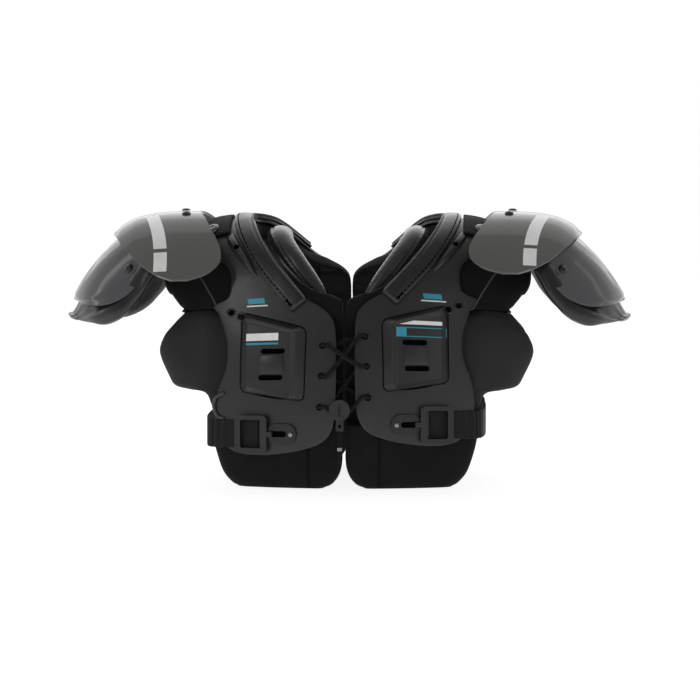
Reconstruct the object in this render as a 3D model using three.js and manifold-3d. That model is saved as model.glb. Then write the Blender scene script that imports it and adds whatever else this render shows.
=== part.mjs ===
// Football shoulder pads for a young player, standing on the lower edges of their body pads.
// Two mirrored halves are laced together at the chest and at the back. Each half is a hard plastic arch
// that runs from the chest over the shoulder to the back, a padded liner under it, rounded side pads,
// a vinyl collar with a neck roll inside it, a knitted shoulder web that carries the epaulet, and a
// shoulder cup with its own pad. An elastic strap with a hooked buckle closes each side.
// Millimetres, +Z up, the chest faces -Y, origin on the floor below the middle.
import * as THREE from "three";
import { mergeVertices } from "three/addons/utils/BufferGeometryUtils.js";
import Module from "manifold-3d";

const wasm = await Module();
wasm.setup();

// The arch that both halves are bent over
const ARCH_HEIGHT = 245; // crest of the hard arch, at the middle of its wall
const FRONT_DEPTH = 112; // chest side of the arch from the middle plane
const BACK_DEPTH = 116; // back side of the arch from the middle plane
const BODY_HALF_WIDTH = 130; // half width of the body at the waist
const ARCH_SQUARENESS = 2.6; // 2 is an ellipse, more is squarer
const WRAP_DEPTH = 27; // how far the chest and back curve away at the body's half width
const SHOULDER_FALL = 13; // how far the arch falls from the collar to its arm edge
const PLATE_WALL = 3;
const CREST_FROM = Math.PI / 3; // angle where the crest begins, with rows that all pieces on it share
const CREST_STEP = Math.PI / 30;
const CHORD_SLACK = 0.1; // how far a merged facet may leave the faces it replaces
const SEAT_GAP = 0.3; // clearance between pieces that touch
const BENT_GAP = 0.6; // the same between bent pieces, whose facets differ
const LINER_THICKNESS = 16;

// Raised chest panel and the holes of the hard arch
const PANEL_RELIEF = 6;
const PANEL_SLOT_LENGTH = 23;
const PANEL_SLOT_HEIGHT = 5;
const PANEL_VENT_LENGTH = 42;
const PANEL_VENT_HEIGHT = 2.4;
const LOOP_HEIGHT = 1.2; // raised bridge between the two panel slots
const LOOP_LENGTH = 22;
const LOOP_WIDTH = 17;
const EYELET_RADIUS = 3;
const VENT_RADIUS = 2.8;
const RIB_RELIEF = 3.2; // moulded rib that runs down beside the collar

// Collar and neck roll
const COLLAR_WIDTH = 17.5;
const COLLAR_THICKNESS = 4.5;
const ROLL_DEPTH = 20; // thickness of the neck roll towards the neck

// Epaulet, shoulder web, cup and cup pad
const EPAULET_LIFT = 8; // how far its top stands above the crest of the arch
const SHOULDER_HEIGHT = ARCH_HEIGHT + EPAULET_LIFT;
const EPAULET_OVERHANG = 92; // how far it reaches beyond the body's half width
const EPAULET_REACH = BODY_HALF_WIDTH + EPAULET_OVERHANG;
const EPAULET_HALF_LENGTH = 105; // front to back
const EPAULET_DROP = 60; // how far its front and back edges hang down
const EPAULET_WALL = 3;
const EPAULET_BEND = 2.6; // power of its curve from front to back
const WEB_THICKNESS = 2.6;
const WEB_FROM = Math.PI / 2 - 3 * CREST_STEP; // angle of its front edge on the arch
const CUP_OVERHANG = 42.5; // how far the cup reaches beyond the epaulet
const CUP_REACH = EPAULET_REACH + CUP_OVERHANG;
const CUP_HALF_LENGTH = 88;
const CUP_WALL = 3;
const CUP_BEND = 2.4;
// Small moves of the cup, in millimetres, that together shape its room in the pad
const CUP_PLAY = [[0, 0, 0], [0.8, 0.4, 0], [0.8, -0.4, 0], [0.4, 0, -0.6], [0, 0, 0.6], [-0.8, 0, 0]];
const CUP_PAD_THICKNESS = 15;
const CUP_LIP = 9.5; // how far its pad reaches beyond the cup
const CUP_PAD_REACH = CUP_REACH + CUP_LIP;
const CUP_PAD_HALF_LENGTH = CUP_HALF_LENGTH + 6;

// Side strap, hook plate and buckle
const STRAP_WIDTH = 26;
const STRAP_THICKNESS = 2;
const STRAP_RISE = 0.222; // height of the strap's middle as a share of the arch height
const STRAP_SWING = 14; // how widely it bends round the side
const STRAP_CLEARANCE = 1; // how far the straps stand out beyond the body's half width
const SIDE_REACH = BODY_HALF_WIDTH + STRAP_CLEARANCE;
const BUCKLE_WIDTH = 31;
const BUCKLE_HEIGHT = 34;
const BUCKLE_RAIL = 5.5;
const BUCKLE_THICKNESS = 4;
const HOOK_LENGTH = 5; // how far the hook reaches past the frame
const HOOK_BITE = 1.6; // how deep its tooth stands in the slot
const HOOK_PLATE_REACH = 28;
const HOOK_SLOT_LENGTH = 16;
const HOOK_SLOT_SHIFT = 3;
const HOOK_RIVET_SHIFT = 9;
const HOOK_RIVET_RADIUS = 2.4;
const HOOK_PLATE_HEIGHT = 19;
const HOOK_PLATE_THICKNESS = 2.4;
const HOOK_SLOT_HEIGHT = 5.5;

// Rivets, laces and the cord lock
const WEB_RIVET_FORWARD = 37; // in front of the crest
const WEB_RIVET_OUT = 0.96; // share of BODY_HALF_WIDTH
const RIVET_RADIUS = 4.2;
const RIVET_HEIGHT = 2.2;
const WEB_RIVET_RADIUS = 6.4;
const LACE_DIAMETER = 4;
const LACE_SLACK = 0.7; // how far the laces stand off the arch
const LACE_END_GAP = 0.6;
const LACE_BED = 0.215; // share of BODY_HALF_WIDTH under the laces, where the liner is thinner
const LACE_BED_DEPTH = 9.2;
const LACED = { from: 0.245, to: 0.64 }; // shares of ARCH_HEIGHT between which the laces lie
const LOCK_SLOT_DEPTH = 2;
const TAIL_LENGTH = 34;
const CRIMP_PLACE = 0.62; // share of the tail above the crimp
const CRIMP_LENGTH = 3;
const KNOT_RADIUS = 5;
const LOCK_RADIUS = 9.6;
const LOCK_THICKNESS = 9;
const LOCK_SLOT_LENGTH = 11;
const LOCK_SLOT_WIDTH = 3.2;
const TAB_WIDTH = 7;
const TAB_LENGTH = 11;
const TAB_THICKNESS = 5;
const TAB_HOLE_RADIUS = 1.7;
const TAIL_DIAMETER = 2.6;

// The two halves: the hard parts of the right half sit a little higher on the chest
const SIDES = [
  { name: "left", sign: -1, lift: -4.5, spread: -0.012, capDrop: 2 },
  { name: "right", sign: 1, lift: 4.5, spread: 0.012, capDrop: -5 },
];

// Hard arch, from foot to crest. rise: share of ARCH_HEIGHT. inner, outer: shares of BODY_HALF_WIDTH.
const PLATE_FRONT = [
  { rise: 0.143, inner: 0.56, outer: 0.68 },
  { rise: 0.151, inner: 0.44, outer: 0.76 },
  { rise: 0.164, inner: 0.31, outer: 0.81 },
  { rise: 0.185, inner: 0.195, outer: 0.855 },
  { rise: 0.21, inner: 0.13, outer: 0.88 },
  { rise: 0.25, inner: 0.09, outer: 0.905 },
  { rise: 0.306, inner: 0.074, outer: 0.915 },
  { rise: 0.39, inner: 0.068, outer: 0.893 },
  { rise: 0.48, inner: 0.066, outer: 0.836 },
  { rise: 0.57, inner: 0.067, outer: 0.832 },
  { rise: 0.64, inner: 0.086, outer: 0.868 },
  { rise: 0.682, inner: 0.151, outer: 0.898 },
  { rise: 0.712, inner: 0.248, outer: 0.937 },
  { rise: 0.728, inner: 0.29, outer: 0.87 },
  { rise: 0.745, inner: 0.318, outer: 0.825 },
  { rise: 0.785, inner: 0.372, outer: 0.81 },
  { rise: 0.83, inner: 0.44, outer: 0.82 },
  { rise: 0.87, inner: 0.5, outer: 0.87 },
  { rise: 0.92, inner: 0.575, outer: 1.03 },
  { rise: 0.96, inner: 0.63, outer: 1.12 },
  { rise: 1.0, inner: 0.685, outer: 1.16 },
];
const PLATE_BACK = [
  { rise: 0.145, inner: 0.3, outer: 0.7 },
  { rise: 0.17, inner: 0.17, outer: 0.83 },
  { rise: 0.22, inner: 0.09, outer: 0.9 },
  { rise: 0.32, inner: 0.07, outer: 0.912 },
  { rise: 0.48, inner: 0.066, outer: 0.84 },
  { rise: 0.6, inner: 0.066, outer: 0.84 },
  { rise: 0.7, inner: 0.07, outer: 0.9 },
  { rise: 0.75, inner: 0.08, outer: 0.89 },
  { rise: 0.79, inner: 0.11, outer: 0.84 },
  { rise: 0.83, inner: 0.18, outer: 0.83 },
  { rise: 0.865, inner: 0.27, outer: 0.87 },
  { rise: 0.9, inner: 0.345, outer: 0.97 },
  { rise: 0.94, inner: 0.425, outer: 1.08 },
  { rise: 0.975, inner: 0.51, outer: 1.14 },
  { rise: 0.992, inner: 0.575, outer: 1.155 },
];

// Padded liner under the arch, with the same columns and fill, the share of LINER_THICKNESS
const LINER_FRONT = [
  { rise: 0.0, inner: 0.17, outer: 0.78, fill: 0.6 },
  { rise: 0.016, inner: 0.11, outer: 0.83, fill: 0.85 },
  { rise: 0.05, inner: 0.06, outer: 0.885, fill: 1 },
  { rise: 0.1, inner: 0.02, outer: 0.925, fill: 1 },
  { rise: 0.17, inner: 0.012, outer: 0.96, fill: 1 },
  { rise: 0.222, inner: 0.012, outer: 0.96, fill: 1 },
  { rise: 0.248, inner: 0.012, outer: 0.8, fill: 1 },
  { rise: 0.36, inner: 0.012, outer: 0.77, fill: 1 },
  { rise: 0.52, inner: 0.012, outer: 0.765, fill: 1 },
  { rise: 0.683, inner: 0.015, outer: 0.78, fill: 1 },
  { rise: 0.698, inner: 0.016, outer: 1.18, fill: 1 },
  { rise: 0.715, inner: 0.03, outer: 1.2, fill: 1 },
  { rise: 0.73, inner: 0.09, outer: 1.225, fill: 1 },
  { rise: 0.742, inner: 0.19, outer: 1.24, fill: 1 },
  { rise: 0.783, inner: 0.315, outer: 1.285, fill: 1 },
  { rise: 0.84, inner: 0.425, outer: 1.335, fill: 1 },
  { rise: 0.9, inner: 0.53, outer: 1.35, fill: 1 },
  { rise: 0.96, inner: 0.62, outer: 1.345, fill: 1 },
  { rise: 1.0, inner: 0.675, outer: 1.33, fill: 1 },
];
const LINER_BACK = [
  { rise: 0.0, inner: 0.17, outer: 0.78, fill: 0.6 },
  { rise: 0.016, inner: 0.11, outer: 0.83, fill: 0.85 },
  { rise: 0.06, inner: 0.05, outer: 0.89, fill: 1 },
  { rise: 0.17, inner: 0.014, outer: 0.96, fill: 1 },
  { rise: 0.222, inner: 0.014, outer: 0.96, fill: 1 },
  { rise: 0.248, inner: 0.014, outer: 0.8, fill: 1 },
  { rise: 0.36, inner: 0.014, outer: 0.77, fill: 1 },
  { rise: 0.52, inner: 0.014, outer: 0.765, fill: 1 },
  { rise: 0.683, inner: 0.016, outer: 0.78, fill: 1 },
  { rise: 0.698, inner: 0.018, outer: 1.18, fill: 1 },
  { rise: 0.755, inner: 0.035, outer: 1.25, fill: 1 },
  { rise: 0.795, inner: 0.06, outer: 1.29, fill: 1 },
  { rise: 0.825, inner: 0.12, outer: 1.32, fill: 1 },
  { rise: 0.85, inner: 0.19, outer: 1.335, fill: 1 },
  { rise: 0.88, inner: 0.3, outer: 1.345, fill: 1 },
  { rise: 0.92, inner: 0.4, outer: 1.35, fill: 1 },
  { rise: 0.96, inner: 0.475, outer: 1.345, fill: 1 },
  { rise: 0.985, inner: 0.55, outer: 1.34, fill: 1 },
];

// Rounded side pad that stands out from behind the arch's arm edge, from its lower tip up.
// free: share of BODY_HALF_WIDTH where it comes out from under the arch.
const SIDE_PAD = [
  { rise: 0.265, inner: 0.868, outer: 0.945, free: 0.94, fill: 0.35 },
  { rise: 0.31, inner: 0.818, outer: 0.98, free: 0.935, fill: 0.55 },
  { rise: 0.36, inner: 0.783, outer: 1.015, free: 0.925, fill: 0.8 },
  { rise: 0.374, inner: 0.783, outer: 1.13, free: 0.92, fill: 0.9 },
  { rise: 0.39, inner: 0.783, outer: 1.235, free: 0.91, fill: 0.95 },
  { rise: 0.43, inner: 0.778, outer: 1.285, free: 0.885, fill: 1 },
  { rise: 0.53, inner: 0.778, outer: 1.358, free: 0.855, fill: 1 },
  { rise: 0.6, inner: 0.778, outer: 1.325, free: 0.865, fill: 1 },
  { rise: 0.645, inner: 0.788, outer: 1.26, free: 0.89, fill: 0.85 },
  { rise: 0.678, inner: 0.818, outer: 1.18, free: 0.92, fill: 0.5 },
];
const SIDE_PAD_THICKNESS = 20;
const SIDE_PAD_CROWN = 5; // how far its middle stands in front of the arch's mid face

// Middle line of the collar strip: out is a share of BODY_HALF_WIDTH
const COLLAR_FRONT = [
  { rise: 0.695, out: 0.315 },
  { rise: 0.76, out: 0.425 },
  { rise: 0.83, out: 0.54 },
  { rise: 0.89, out: 0.625 },
  { rise: 0.945, out: 0.695 },
  { rise: 0.985, out: 0.742 },
  { rise: 1.0, out: 0.757 },
];
const COLLAR_BACK = [
  { rise: 0.868, out: 0.35 },
  { rise: 0.9, out: 0.415 },
  { rise: 0.935, out: 0.485 },
  { rise: 0.965, out: 0.55 },
  { rise: 0.985, out: 0.61 },
  { rise: 0.996, out: 0.68 },
];

// Neck roll. half: its half width as a share of BODY_HALF_WIDTH.
// sink: how deep its middle lies, as a share of ROLL_DEPTH.
const ROLL_FRONT = [
  { rise: 0.745, out: 0.165, half: 0.035, sink: 1.3, fill: 0.45 },
  { rise: 0.775, out: 0.21, half: 0.058, sink: 1.28, fill: 0.7 },
  { rise: 0.83, out: 0.29, half: 0.078, sink: 1.15, fill: 0.9 },
  { rise: 0.89, out: 0.375, half: 0.088, sink: 0.98, fill: 1 },
  { rise: 0.95, out: 0.45, half: 0.092, sink: 0.84, fill: 1 },
  { rise: 0.99, out: 0.495, half: 0.092, sink: 0.74, fill: 1 },
];
const ROLL_BACK = [
  { rise: 0.985, out: 0.5, half: 0.05, sink: 0.85, fill: 0.5 },
  { rise: 0.996, out: 0.502, half: 0.085, sink: 0.76, fill: 0.85 },
];

// Moulded rib beside the collar
const RIB = [
  { rise: 0.812, out: 0.627, half: 0.008 },
  { rise: 0.84, out: 0.67, half: 0.022 },
  { rise: 0.875, out: 0.722, half: 0.03 },
  { rise: 0.914, out: 0.78, half: 0.034 },
  { rise: 0.945, out: 0.82, half: 0.034 },
  { rise: 0.965, out: 0.84, half: 0.025 },
];

// Corners of the raised panel: where its bevels meet the arch, and its flat top
const PANEL_BASE = {
  footInner: { rise: 0.347, out: 0.28 },
  footOuter: { rise: 0.383, out: 0.735 },
  topInner: { rise: 0.615, out: 0.265 },
  topOuter: { rise: 0.682, out: 0.728 },
};
const PANEL_TOP = {
  footInner: { rise: 0.352, out: 0.345 },
  footOuter: { rise: 0.386, out: 0.7 },
  topInner: { rise: 0.604, out: 0.33 },
  topOuter: { rise: 0.657, out: 0.695 },
};
const PANEL_SLOTS = [
  { rise: 0.53, out: 0.487 },
  { rise: 0.434, out: 0.503 },
];
const PANEL_VENT = { rise: 0.358, out: 0.53 };
const EYELETS = [
  { rise: 0.551, out: 0.15 },
  { rise: 0.441, out: 0.16 },
  { rise: 0.325, out: 0.17 },
];
const VENTS = [
  { rise: 0.684, out: 0.805 },
  { rise: 0.666, out: 0.73 },
  { rise: 0.914, out: 0.779 },
];

// Epaulet, from its middle to its front edge. along: share of EPAULET_HALF_LENGTH.
// inner, outer: shares of EPAULET_REACH.
const EPAULET = [
  { along: 0.0, inner: 0.634, outer: 1.0 },
  { along: 0.2, inner: 0.626, outer: 0.998 },
  { along: 0.4, inner: 0.6, outer: 0.987 },
  { along: 0.6, inner: 0.565, outer: 0.955 },
  { along: 0.72, inner: 0.534, outer: 0.923 },
  { along: 0.83, inner: 0.514, outer: 0.88 },
  { along: 0.9, inner: 0.524, outer: 0.84 },
  { along: 0.965, inner: 0.575, outer: 0.778 },
  { along: 1.0, inner: 0.65, outer: 0.715 },
];
// Ridge of the epaulet: out is a share of EPAULET_REACH, up a share of SHOULDER_HEIGHT
const EPAULET_RIDGE = [
  { out: 0.5, up: 1.0 },
  { out: 0.7, up: 1.001 },
  { out: 0.82, up: 0.995 },
  { out: 0.9, up: 0.98 },
  { out: 0.96, up: 0.955 },
  { out: 1.0, up: 0.925 },
];

// Cup, from its hidden upper end to its tip.
// out and hemOut: shares of CUP_REACH for its ridge and its front hem.
// up and hemUp: shares of SHOULDER_HEIGHT for the same two lines. half: share of CUP_HALF_LENGTH.
const CUP = [
  { out: 0.718, up: 0.958, half: 0.95, hemOut: 0.665, hemUp: 0.83 },
  { out: 0.782, up: 0.938, half: 0.99, hemOut: 0.688, hemUp: 0.785 },
  { out: 0.842, up: 0.889, half: 1.0, hemOut: 0.718, hemUp: 0.745 },
  { out: 0.867, up: 0.864, half: 1.0, hemOut: 0.75, hemUp: 0.714 },
  { out: 0.893, up: 0.837, half: 0.98, hemOut: 0.79, hemUp: 0.686 },
  { out: 0.922, up: 0.801, half: 0.92, hemOut: 0.842, hemUp: 0.665 },
  { out: 0.956, up: 0.752, half: 0.78, hemOut: 0.895, hemUp: 0.656 },
  { out: 0.982, up: 0.708, half: 0.55, hemOut: 0.942, hemUp: 0.658 },
  { out: 1.0, up: 0.672, half: 0.25, hemOut: 0.98, hemUp: 0.662 },
];
// Pad under the cup, in shares of its own reach and half length. fill: share of CUP_PAD_THICKNESS.
const CUP_PAD = [
  { out: 0.683, up: 0.941, half: 0.93, hemOut: 0.645, hemUp: 0.83, fill: 0.7 },
  { out: 0.75, up: 0.919, half: 0.97, hemOut: 0.657, hemUp: 0.79, fill: 1 },
  { out: 0.804, up: 0.877, half: 1.0, hemOut: 0.68, hemUp: 0.742, fill: 1 },
  { out: 0.828, up: 0.85, half: 1.0, hemOut: 0.7, hemUp: 0.705, fill: 1 },
  { out: 0.852, up: 0.822, half: 0.98, hemOut: 0.727, hemUp: 0.67, fill: 1 },
  { out: 0.879, up: 0.789, half: 0.95, hemOut: 0.757, hemUp: 0.635, fill: 1 },
  { out: 0.913, up: 0.739, half: 0.88, hemOut: 0.797, hemUp: 0.605, fill: 1 },
  { out: 0.939, up: 0.696, half: 0.75, hemOut: 0.85, hemUp: 0.585, fill: 1 },
  { out: 0.965, up: 0.648, half: 0.58, hemOut: 0.893, hemUp: 0.583, fill: 0.9 },
  { out: 0.99, up: 0.617, half: 0.38, hemOut: 0.941, hemUp: 0.585, fill: 0.7 },
  { out: 1.0, up: 0.602, half: 0.22, hemOut: 0.98, hemUp: 0.594, fill: 0.45 },
];
// Shoulder web, in shares of BODY_HALF_WIDTH: where it starts, leaves the arch, meets the epaulet and ends
const WEB_START = 0.842;
const WEB_LEAVES_ARCH = 1.0;
const WEB_MEETS_EPAULET = 1.13;
const WEB_END = 1.58;

// Places of the fastenings. rise and out: shares of ARCH_HEIGHT and BODY_HALF_WIDTH.
const BUCKLE_SPOT = { rise: 0.224, out: 0.641 };
const LOCK_SPOT = { rise: 0.296, out: 0.025 };
const EPAULET_RIVETS = [
  { name: "front", along: -0.3, out: 0.685 },
  { name: "back", along: 0.05, out: 0.705 },
];
// Rivet of the cup. r: share from its upper end to its tip. c: share from the front hem to the back hem.
const CUP_RIVET = { r: 0.25, c: 0.075 };
const STRAP_FRONT_END = 0.6; // shares of BODY_HALF_WIDTH
const STRAP_BACK_END = 0.7;
const STRAP_LEAVES_ARCH = 0.92;

// Colours and surfaces
const PLASTIC = { color: 0x3a3a3a, roughness: 0.5, metalness: 0 };
const SMOKED = { color: 0x4c4d48, roughness: 0.15, metalness: 0 };
const CUP_PLASTIC = { color: 0x55555a, roughness: 0.2, metalness: 0 };
const VINYL = { color: 0x3c3c3c, roughness: 0.45, metalness: 0 };
const FABRIC = { color: 0x1c1c1c, roughness: 0.95, metalness: 0 };
const KNIT = { color: 0x161616, roughness: 1, metalness: 0 };
const BLACK_PLASTIC = { color: 0x2b2b2b, roughness: 0.4, metalness: 0 };
const LACE = { color: 0x111111, roughness: 0.9, metalness: 0 };
const STEEL = { color: 0x8a8a8a, roughness: 0.35, metalness: 1 };

const pads = new THREE.Group();

// Value of one column of a table, on a smooth curve through its rows.
// r runs from 0 at the first row to 1 at the last.
function column(table, name, r) {
  const place = Math.min(Math.max(r, 0), 1) * (table.length - 1);
  const i = Math.min(Math.floor(place), table.length - 2);
  const f = place - i;
  const row = (k) => table[Math.min(Math.max(k, 0), table.length - 1)][name];
  const [a, b, c, d] = [row(i - 1), row(i), row(i + 1), row(i + 2)];
  return b + 0.5 * f * (c - a + f * (2 * a - 5 * b + 4 * c - d + f * (3 * (b - c) + d - a)));
}

// Up column of a table whose out column rises
function heightAt(table, out) {
  let i = 0;
  while (i < table.length - 2 && table[i + 1].out < out) i++;
  const f = Math.min(Math.max((out - table[i].out) / (table[i + 1].out - table[i].out), 0), 1);
  return column(table, "up", (i + f) / (table.length - 1));
}

// Angle along the arch, 0 at the front foot, half a turn at the back foot
function turnOf(rise, isBack) {
  const turn = Math.asin(Math.min(Math.max(rise, 0), 1) ** (ARCH_SQUARENESS / 2));
  return isBack ? Math.PI - turn : turn;
}

// The hard parts of one half ride higher or lower on the chest; the crest stays
function lifted(rise, lift) {
  return rise + (lift / ARCH_HEIGHT) * (1 - rise ** 4);
}

// Rows from the front foot over the crest to the back foot, each with its angle. Over the crest they are evenly
// spaced, so that pieces lying on one another have the same facets there.
function overTheShoulder(front, back, lift) {
  const chest = front.map((row) => ({ ...row, turn: turnOf(lifted(row.rise, lift), false) }));
  const spine = back.map((row) => ({ ...row, turn: turnOf(row.rise, true) }));
  const rows = [...chest, ...spine.reverse()];
  const last = rows.length - 1;
  const near = CREST_STEP / 3;
  const plainFrom = Math.PI / 2 - CREST_FROM + near;
  const isPlain = (row, i) => i === 0 || i === last || Math.abs(row.turn - Math.PI / 2) > plainFrom;
  const kept = rows.filter(isPlain);
  for (let turn = CREST_FROM; turn < Math.PI - CREST_FROM + near; turn += CREST_STEP) {
    if (turn > rows[0].turn + near && turn < rows[last].turn - near) kept.push(rowAt(rows, turn));
  }
  return kept.sort((a, b) => a.turn - b.turn);
}

// Row of a table at an angle between two of its rows
function rowAt(rows, turn) {
  const i = Math.max(rows.findIndex((row) => row.turn > turn) - 1, 0);
  const place = (i + (turn - rows[i].turn) / (rows[i + 1].turn - rows[i].turn)) / (rows.length - 1);
  const values = Object.keys(rows[i]).map((name) => [name, column(rows, name, place)]);
  return { ...Object.fromEntries(values), turn };
}

// Rows with more rows between any two that are further apart than a step
function refined(rows, key, step) {
  const finer = [rows[0]];
  for (let i = 1; i < rows.length; i++) {
    const parts = Math.ceil(Math.abs(rows[i][key] - rows[i - 1][key]) / step - 1e-9);
    for (let k = 1; k < parts; k++) {
      const place = (i - 1 + k / parts) / (rows.length - 1);
      const values = Object.keys(rows[i]).map((name) => [name, column(rows, name, place)]);
      finer.push(Object.fromEntries(values));
    }
    finer.push(rows[i]);
  }
  return finer;
}

// Point of the arch's mid face. out is the distance from the middle plane.
function archFace(turn, out) {
  const power = 2 / ARCH_SQUARENESS;
  const across = Math.cos(turn);
  const upward = Math.max(Math.sin(turn), 0);
  const depth = across > 0 ? FRONT_DEPTH : BACK_DEPTH;
  const forward = -Math.sign(across);
  const y = forward * depth * Math.abs(across) ** power;
  const z = ARCH_HEIGHT * upward ** power;
  const normal = new THREE.Vector2(
    (forward * Math.abs(across) ** (2 - power)) / depth,
    upward ** (2 - power) / ARCH_HEIGHT,
  ).normalize();
  const share = out / BODY_HALF_WIDTH;
  const fallStart = 0.8;
  const fallEnd = 1.16;
  const fall = Math.max((share - fallStart) / (fallEnd - fallStart), 0) ** 2;
  const wrap = WRAP_DEPTH * share ** 2 * Math.abs(across);
  const inward = wrap + SHOULDER_FALL * Math.min(fall, 2) * upward ** 4;
  return new THREE.Vector3(out, y - normal.x * inward, z - normal.y * inward);
}

// Closed solid between two faces. place(r, c, face) gives the point of row r and column c, each from 0 to 1,
// on the outer face (1) or the inner face (-1).
function slab(rowPlaces, colPlaces, place) {
  const width = colPlaces.length;
  const points = [];
  for (const face of [1, -1]) {
    for (const r of rowPlaces) {
      for (const c of colPlaces) points.push(...place(r, c, face).toArray());
    }
  }
  const under = rowPlaces.length * width;
  const at = (i, j) => i * width + j;
  const index = [];
  const quad = (a, b, c, d) => index.push(a, b, c, a, c, d);
  for (let i = 0; i < rowPlaces.length - 1; i++) {
    for (let j = 0; j < width - 1; j++) {
      quad(at(i, j), at(i, j + 1), at(i + 1, j + 1), at(i + 1, j));
      quad(under + at(i, j), under + at(i + 1, j), under + at(i + 1, j + 1), under + at(i, j + 1));
    }
    quad(at(i, 0), at(i + 1, 0), under + at(i + 1, 0), under + at(i, 0));
    quad(at(i, width - 1), under + at(i, width - 1), under + at(i + 1, width - 1), at(i + 1, width - 1));
  }
  const last = rowPlaces.length - 1;
  for (let j = 0; j < width - 1; j++) {
    quad(at(0, j), under + at(0, j), under + at(0, j + 1), at(0, j + 1));
    quad(at(last, j), at(last, j + 1), under + at(last, j + 1), under + at(last, j));
  }
  const geometry = new THREE.BufferGeometry();
  geometry.setAttribute("position", new THREE.Float32BufferAttribute(points, 3));
  geometry.setIndex(index);
  return facingOut(geometry);
}

// Turns every face round if the solid is inside out
function facingOut(geometry) {
  const p = geometry.getAttribute("position");
  const order = geometry.index.array;
  const [a, b, c] = [new THREE.Vector3(), new THREE.Vector3(), new THREE.Vector3()];
  let volume = 0;
  for (let i = 0; i < order.length; i += 3) {
    a.fromBufferAttribute(p, order[i]);
    b.fromBufferAttribute(p, order[i + 1]);
    c.fromBufferAttribute(p, order[i + 2]);
    volume += a.dot(b.cross(c));
  }
  if (volume < 0) {
    for (let i = 0; i < order.length; i += 3) [order[i], order[i + 1]] = [order[i + 1], order[i]];
  }
  return geometry;
}

// Evenly spaced places from 0 to 1
function steps(count) {
  return Array.from({ length: count + 1 }, (_, i) => i / count);
}

// Outward unit normal of a face given as a function of two places
function normalOf(face, r, c, inside) {
  const e = 0.002;
  const along = face(r + e, c).sub(face(r - e, c));
  const across = face(r, c + e).sub(face(r, c - e));
  const normal = along.cross(across).normalize();
  return normal.dot(face(r, c).sub(inside)) < 0 ? normal.negate() : normal;
}

// Point of the arch at a distance off its mid face, for one side
function onArch(sign, turn, out, off) {
  const inside = new THREE.Vector3(0, 0, ARCH_HEIGHT / 3);
  const normal = normalOf((t, o) => archFace(t, o * BODY_HALF_WIDTH), turn, out / BODY_HALF_WIDTH, inside);
  const point = archFace(turn, out).addScaledVector(normal, off);
  point.x *= sign;
  return point;
}

// Where something sits on the chest: its middle and the directions out, up and off the face
function seatOnArch(sign, turn, out, off = 0) {
  const origin = onArch(sign, turn, out, off);
  const outward = onArch(sign, turn, out + 1, off).sub(onArch(sign, turn, out - 1, off)).normalize();
  const away = onArch(sign, turn, out, off + 1).sub(origin).normalize();
  const up = new THREE.Vector3().crossVectors(away, outward).normalize();
  if (up.z < 0) up.negate();
  const right = new THREE.Vector3().crossVectors(up, away);
  return new THREE.Matrix4().makeBasis(right, up, away).setPosition(origin);
}

// Pillow profile: full in the middle, thinner at both ends of c
function pillow(c, power, edge) {
  return edge + (1 - edge) * Math.sqrt(Math.max(1 - Math.abs(2 * c - 1) ** power, 0));
}

// Manifold solid of a geometry, and back
function solidOf(geometry) {
  const bare = new THREE.BufferGeometry();
  const source = geometry.index ? geometry.toNonIndexed() : geometry;
  bare.setAttribute("position", source.getAttribute("position"));
  const merged = mergeVertices(bare, 1e-4);
  const mesh = new wasm.Mesh({
    numProp: 3,
    vertProperties: merged.attributes.position.array,
    triVerts: new Uint32Array(merged.index.array),
  });
  return new wasm.Manifold(mesh);
}

function geometryOf(solid) {
  const mesh = solid.getMesh();
  const points = new Float32Array(mesh.numVert * 3);
  for (let i = 0; i < mesh.numVert; i++) {
    points.set(mesh.vertProperties.subarray(i * mesh.numProp, i * mesh.numProp + 3), i * 3);
  }
  const geometry = new THREE.BufferGeometry();
  geometry.setAttribute("position", new THREE.BufferAttribute(points, 3));
  geometry.setIndex(new THREE.BufferAttribute(mesh.triVerts, 1));
  return geometry;
}

function addPiece(name, geometry, finish) {
  const mesh = new THREE.Mesh(geometry, new THREE.MeshStandardMaterial(finish));
  mesh.name = name;
  pads.add(mesh);
  return mesh;
}

// Flat shape with round ends, or a circle when it is as long as it is high
function roundSlot(length, height) {
  const shape = new THREE.Shape();
  const radius = height / 2;
  const reach = Math.max(length / 2 - radius, 0);
  shape.absarc(reach, 0, radius, -Math.PI / 2, Math.PI / 2);
  shape.absarc(-reach, 0, radius, Math.PI / 2, 1.5 * Math.PI);
  return shape;
}

// Prism of a flat shape through a seat, from one height off the seat to another
function prism(shape, seat, from, to, curveSegments = 5) {
  const made = new THREE.ExtrudeGeometry(shape, { depth: to - from, bevelEnabled: false, curveSegments });
  return made.translate(0, 0, from).applyMatrix4(seat);
}

// Middle of a place on the chest of one side
function chestSeat(side, spot, off = 0) {
  return seatOnArch(side.sign, turnOf(lifted(spot.rise, side.lift), false), spot.out * BODY_HALF_WIDTH, off);
}

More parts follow.
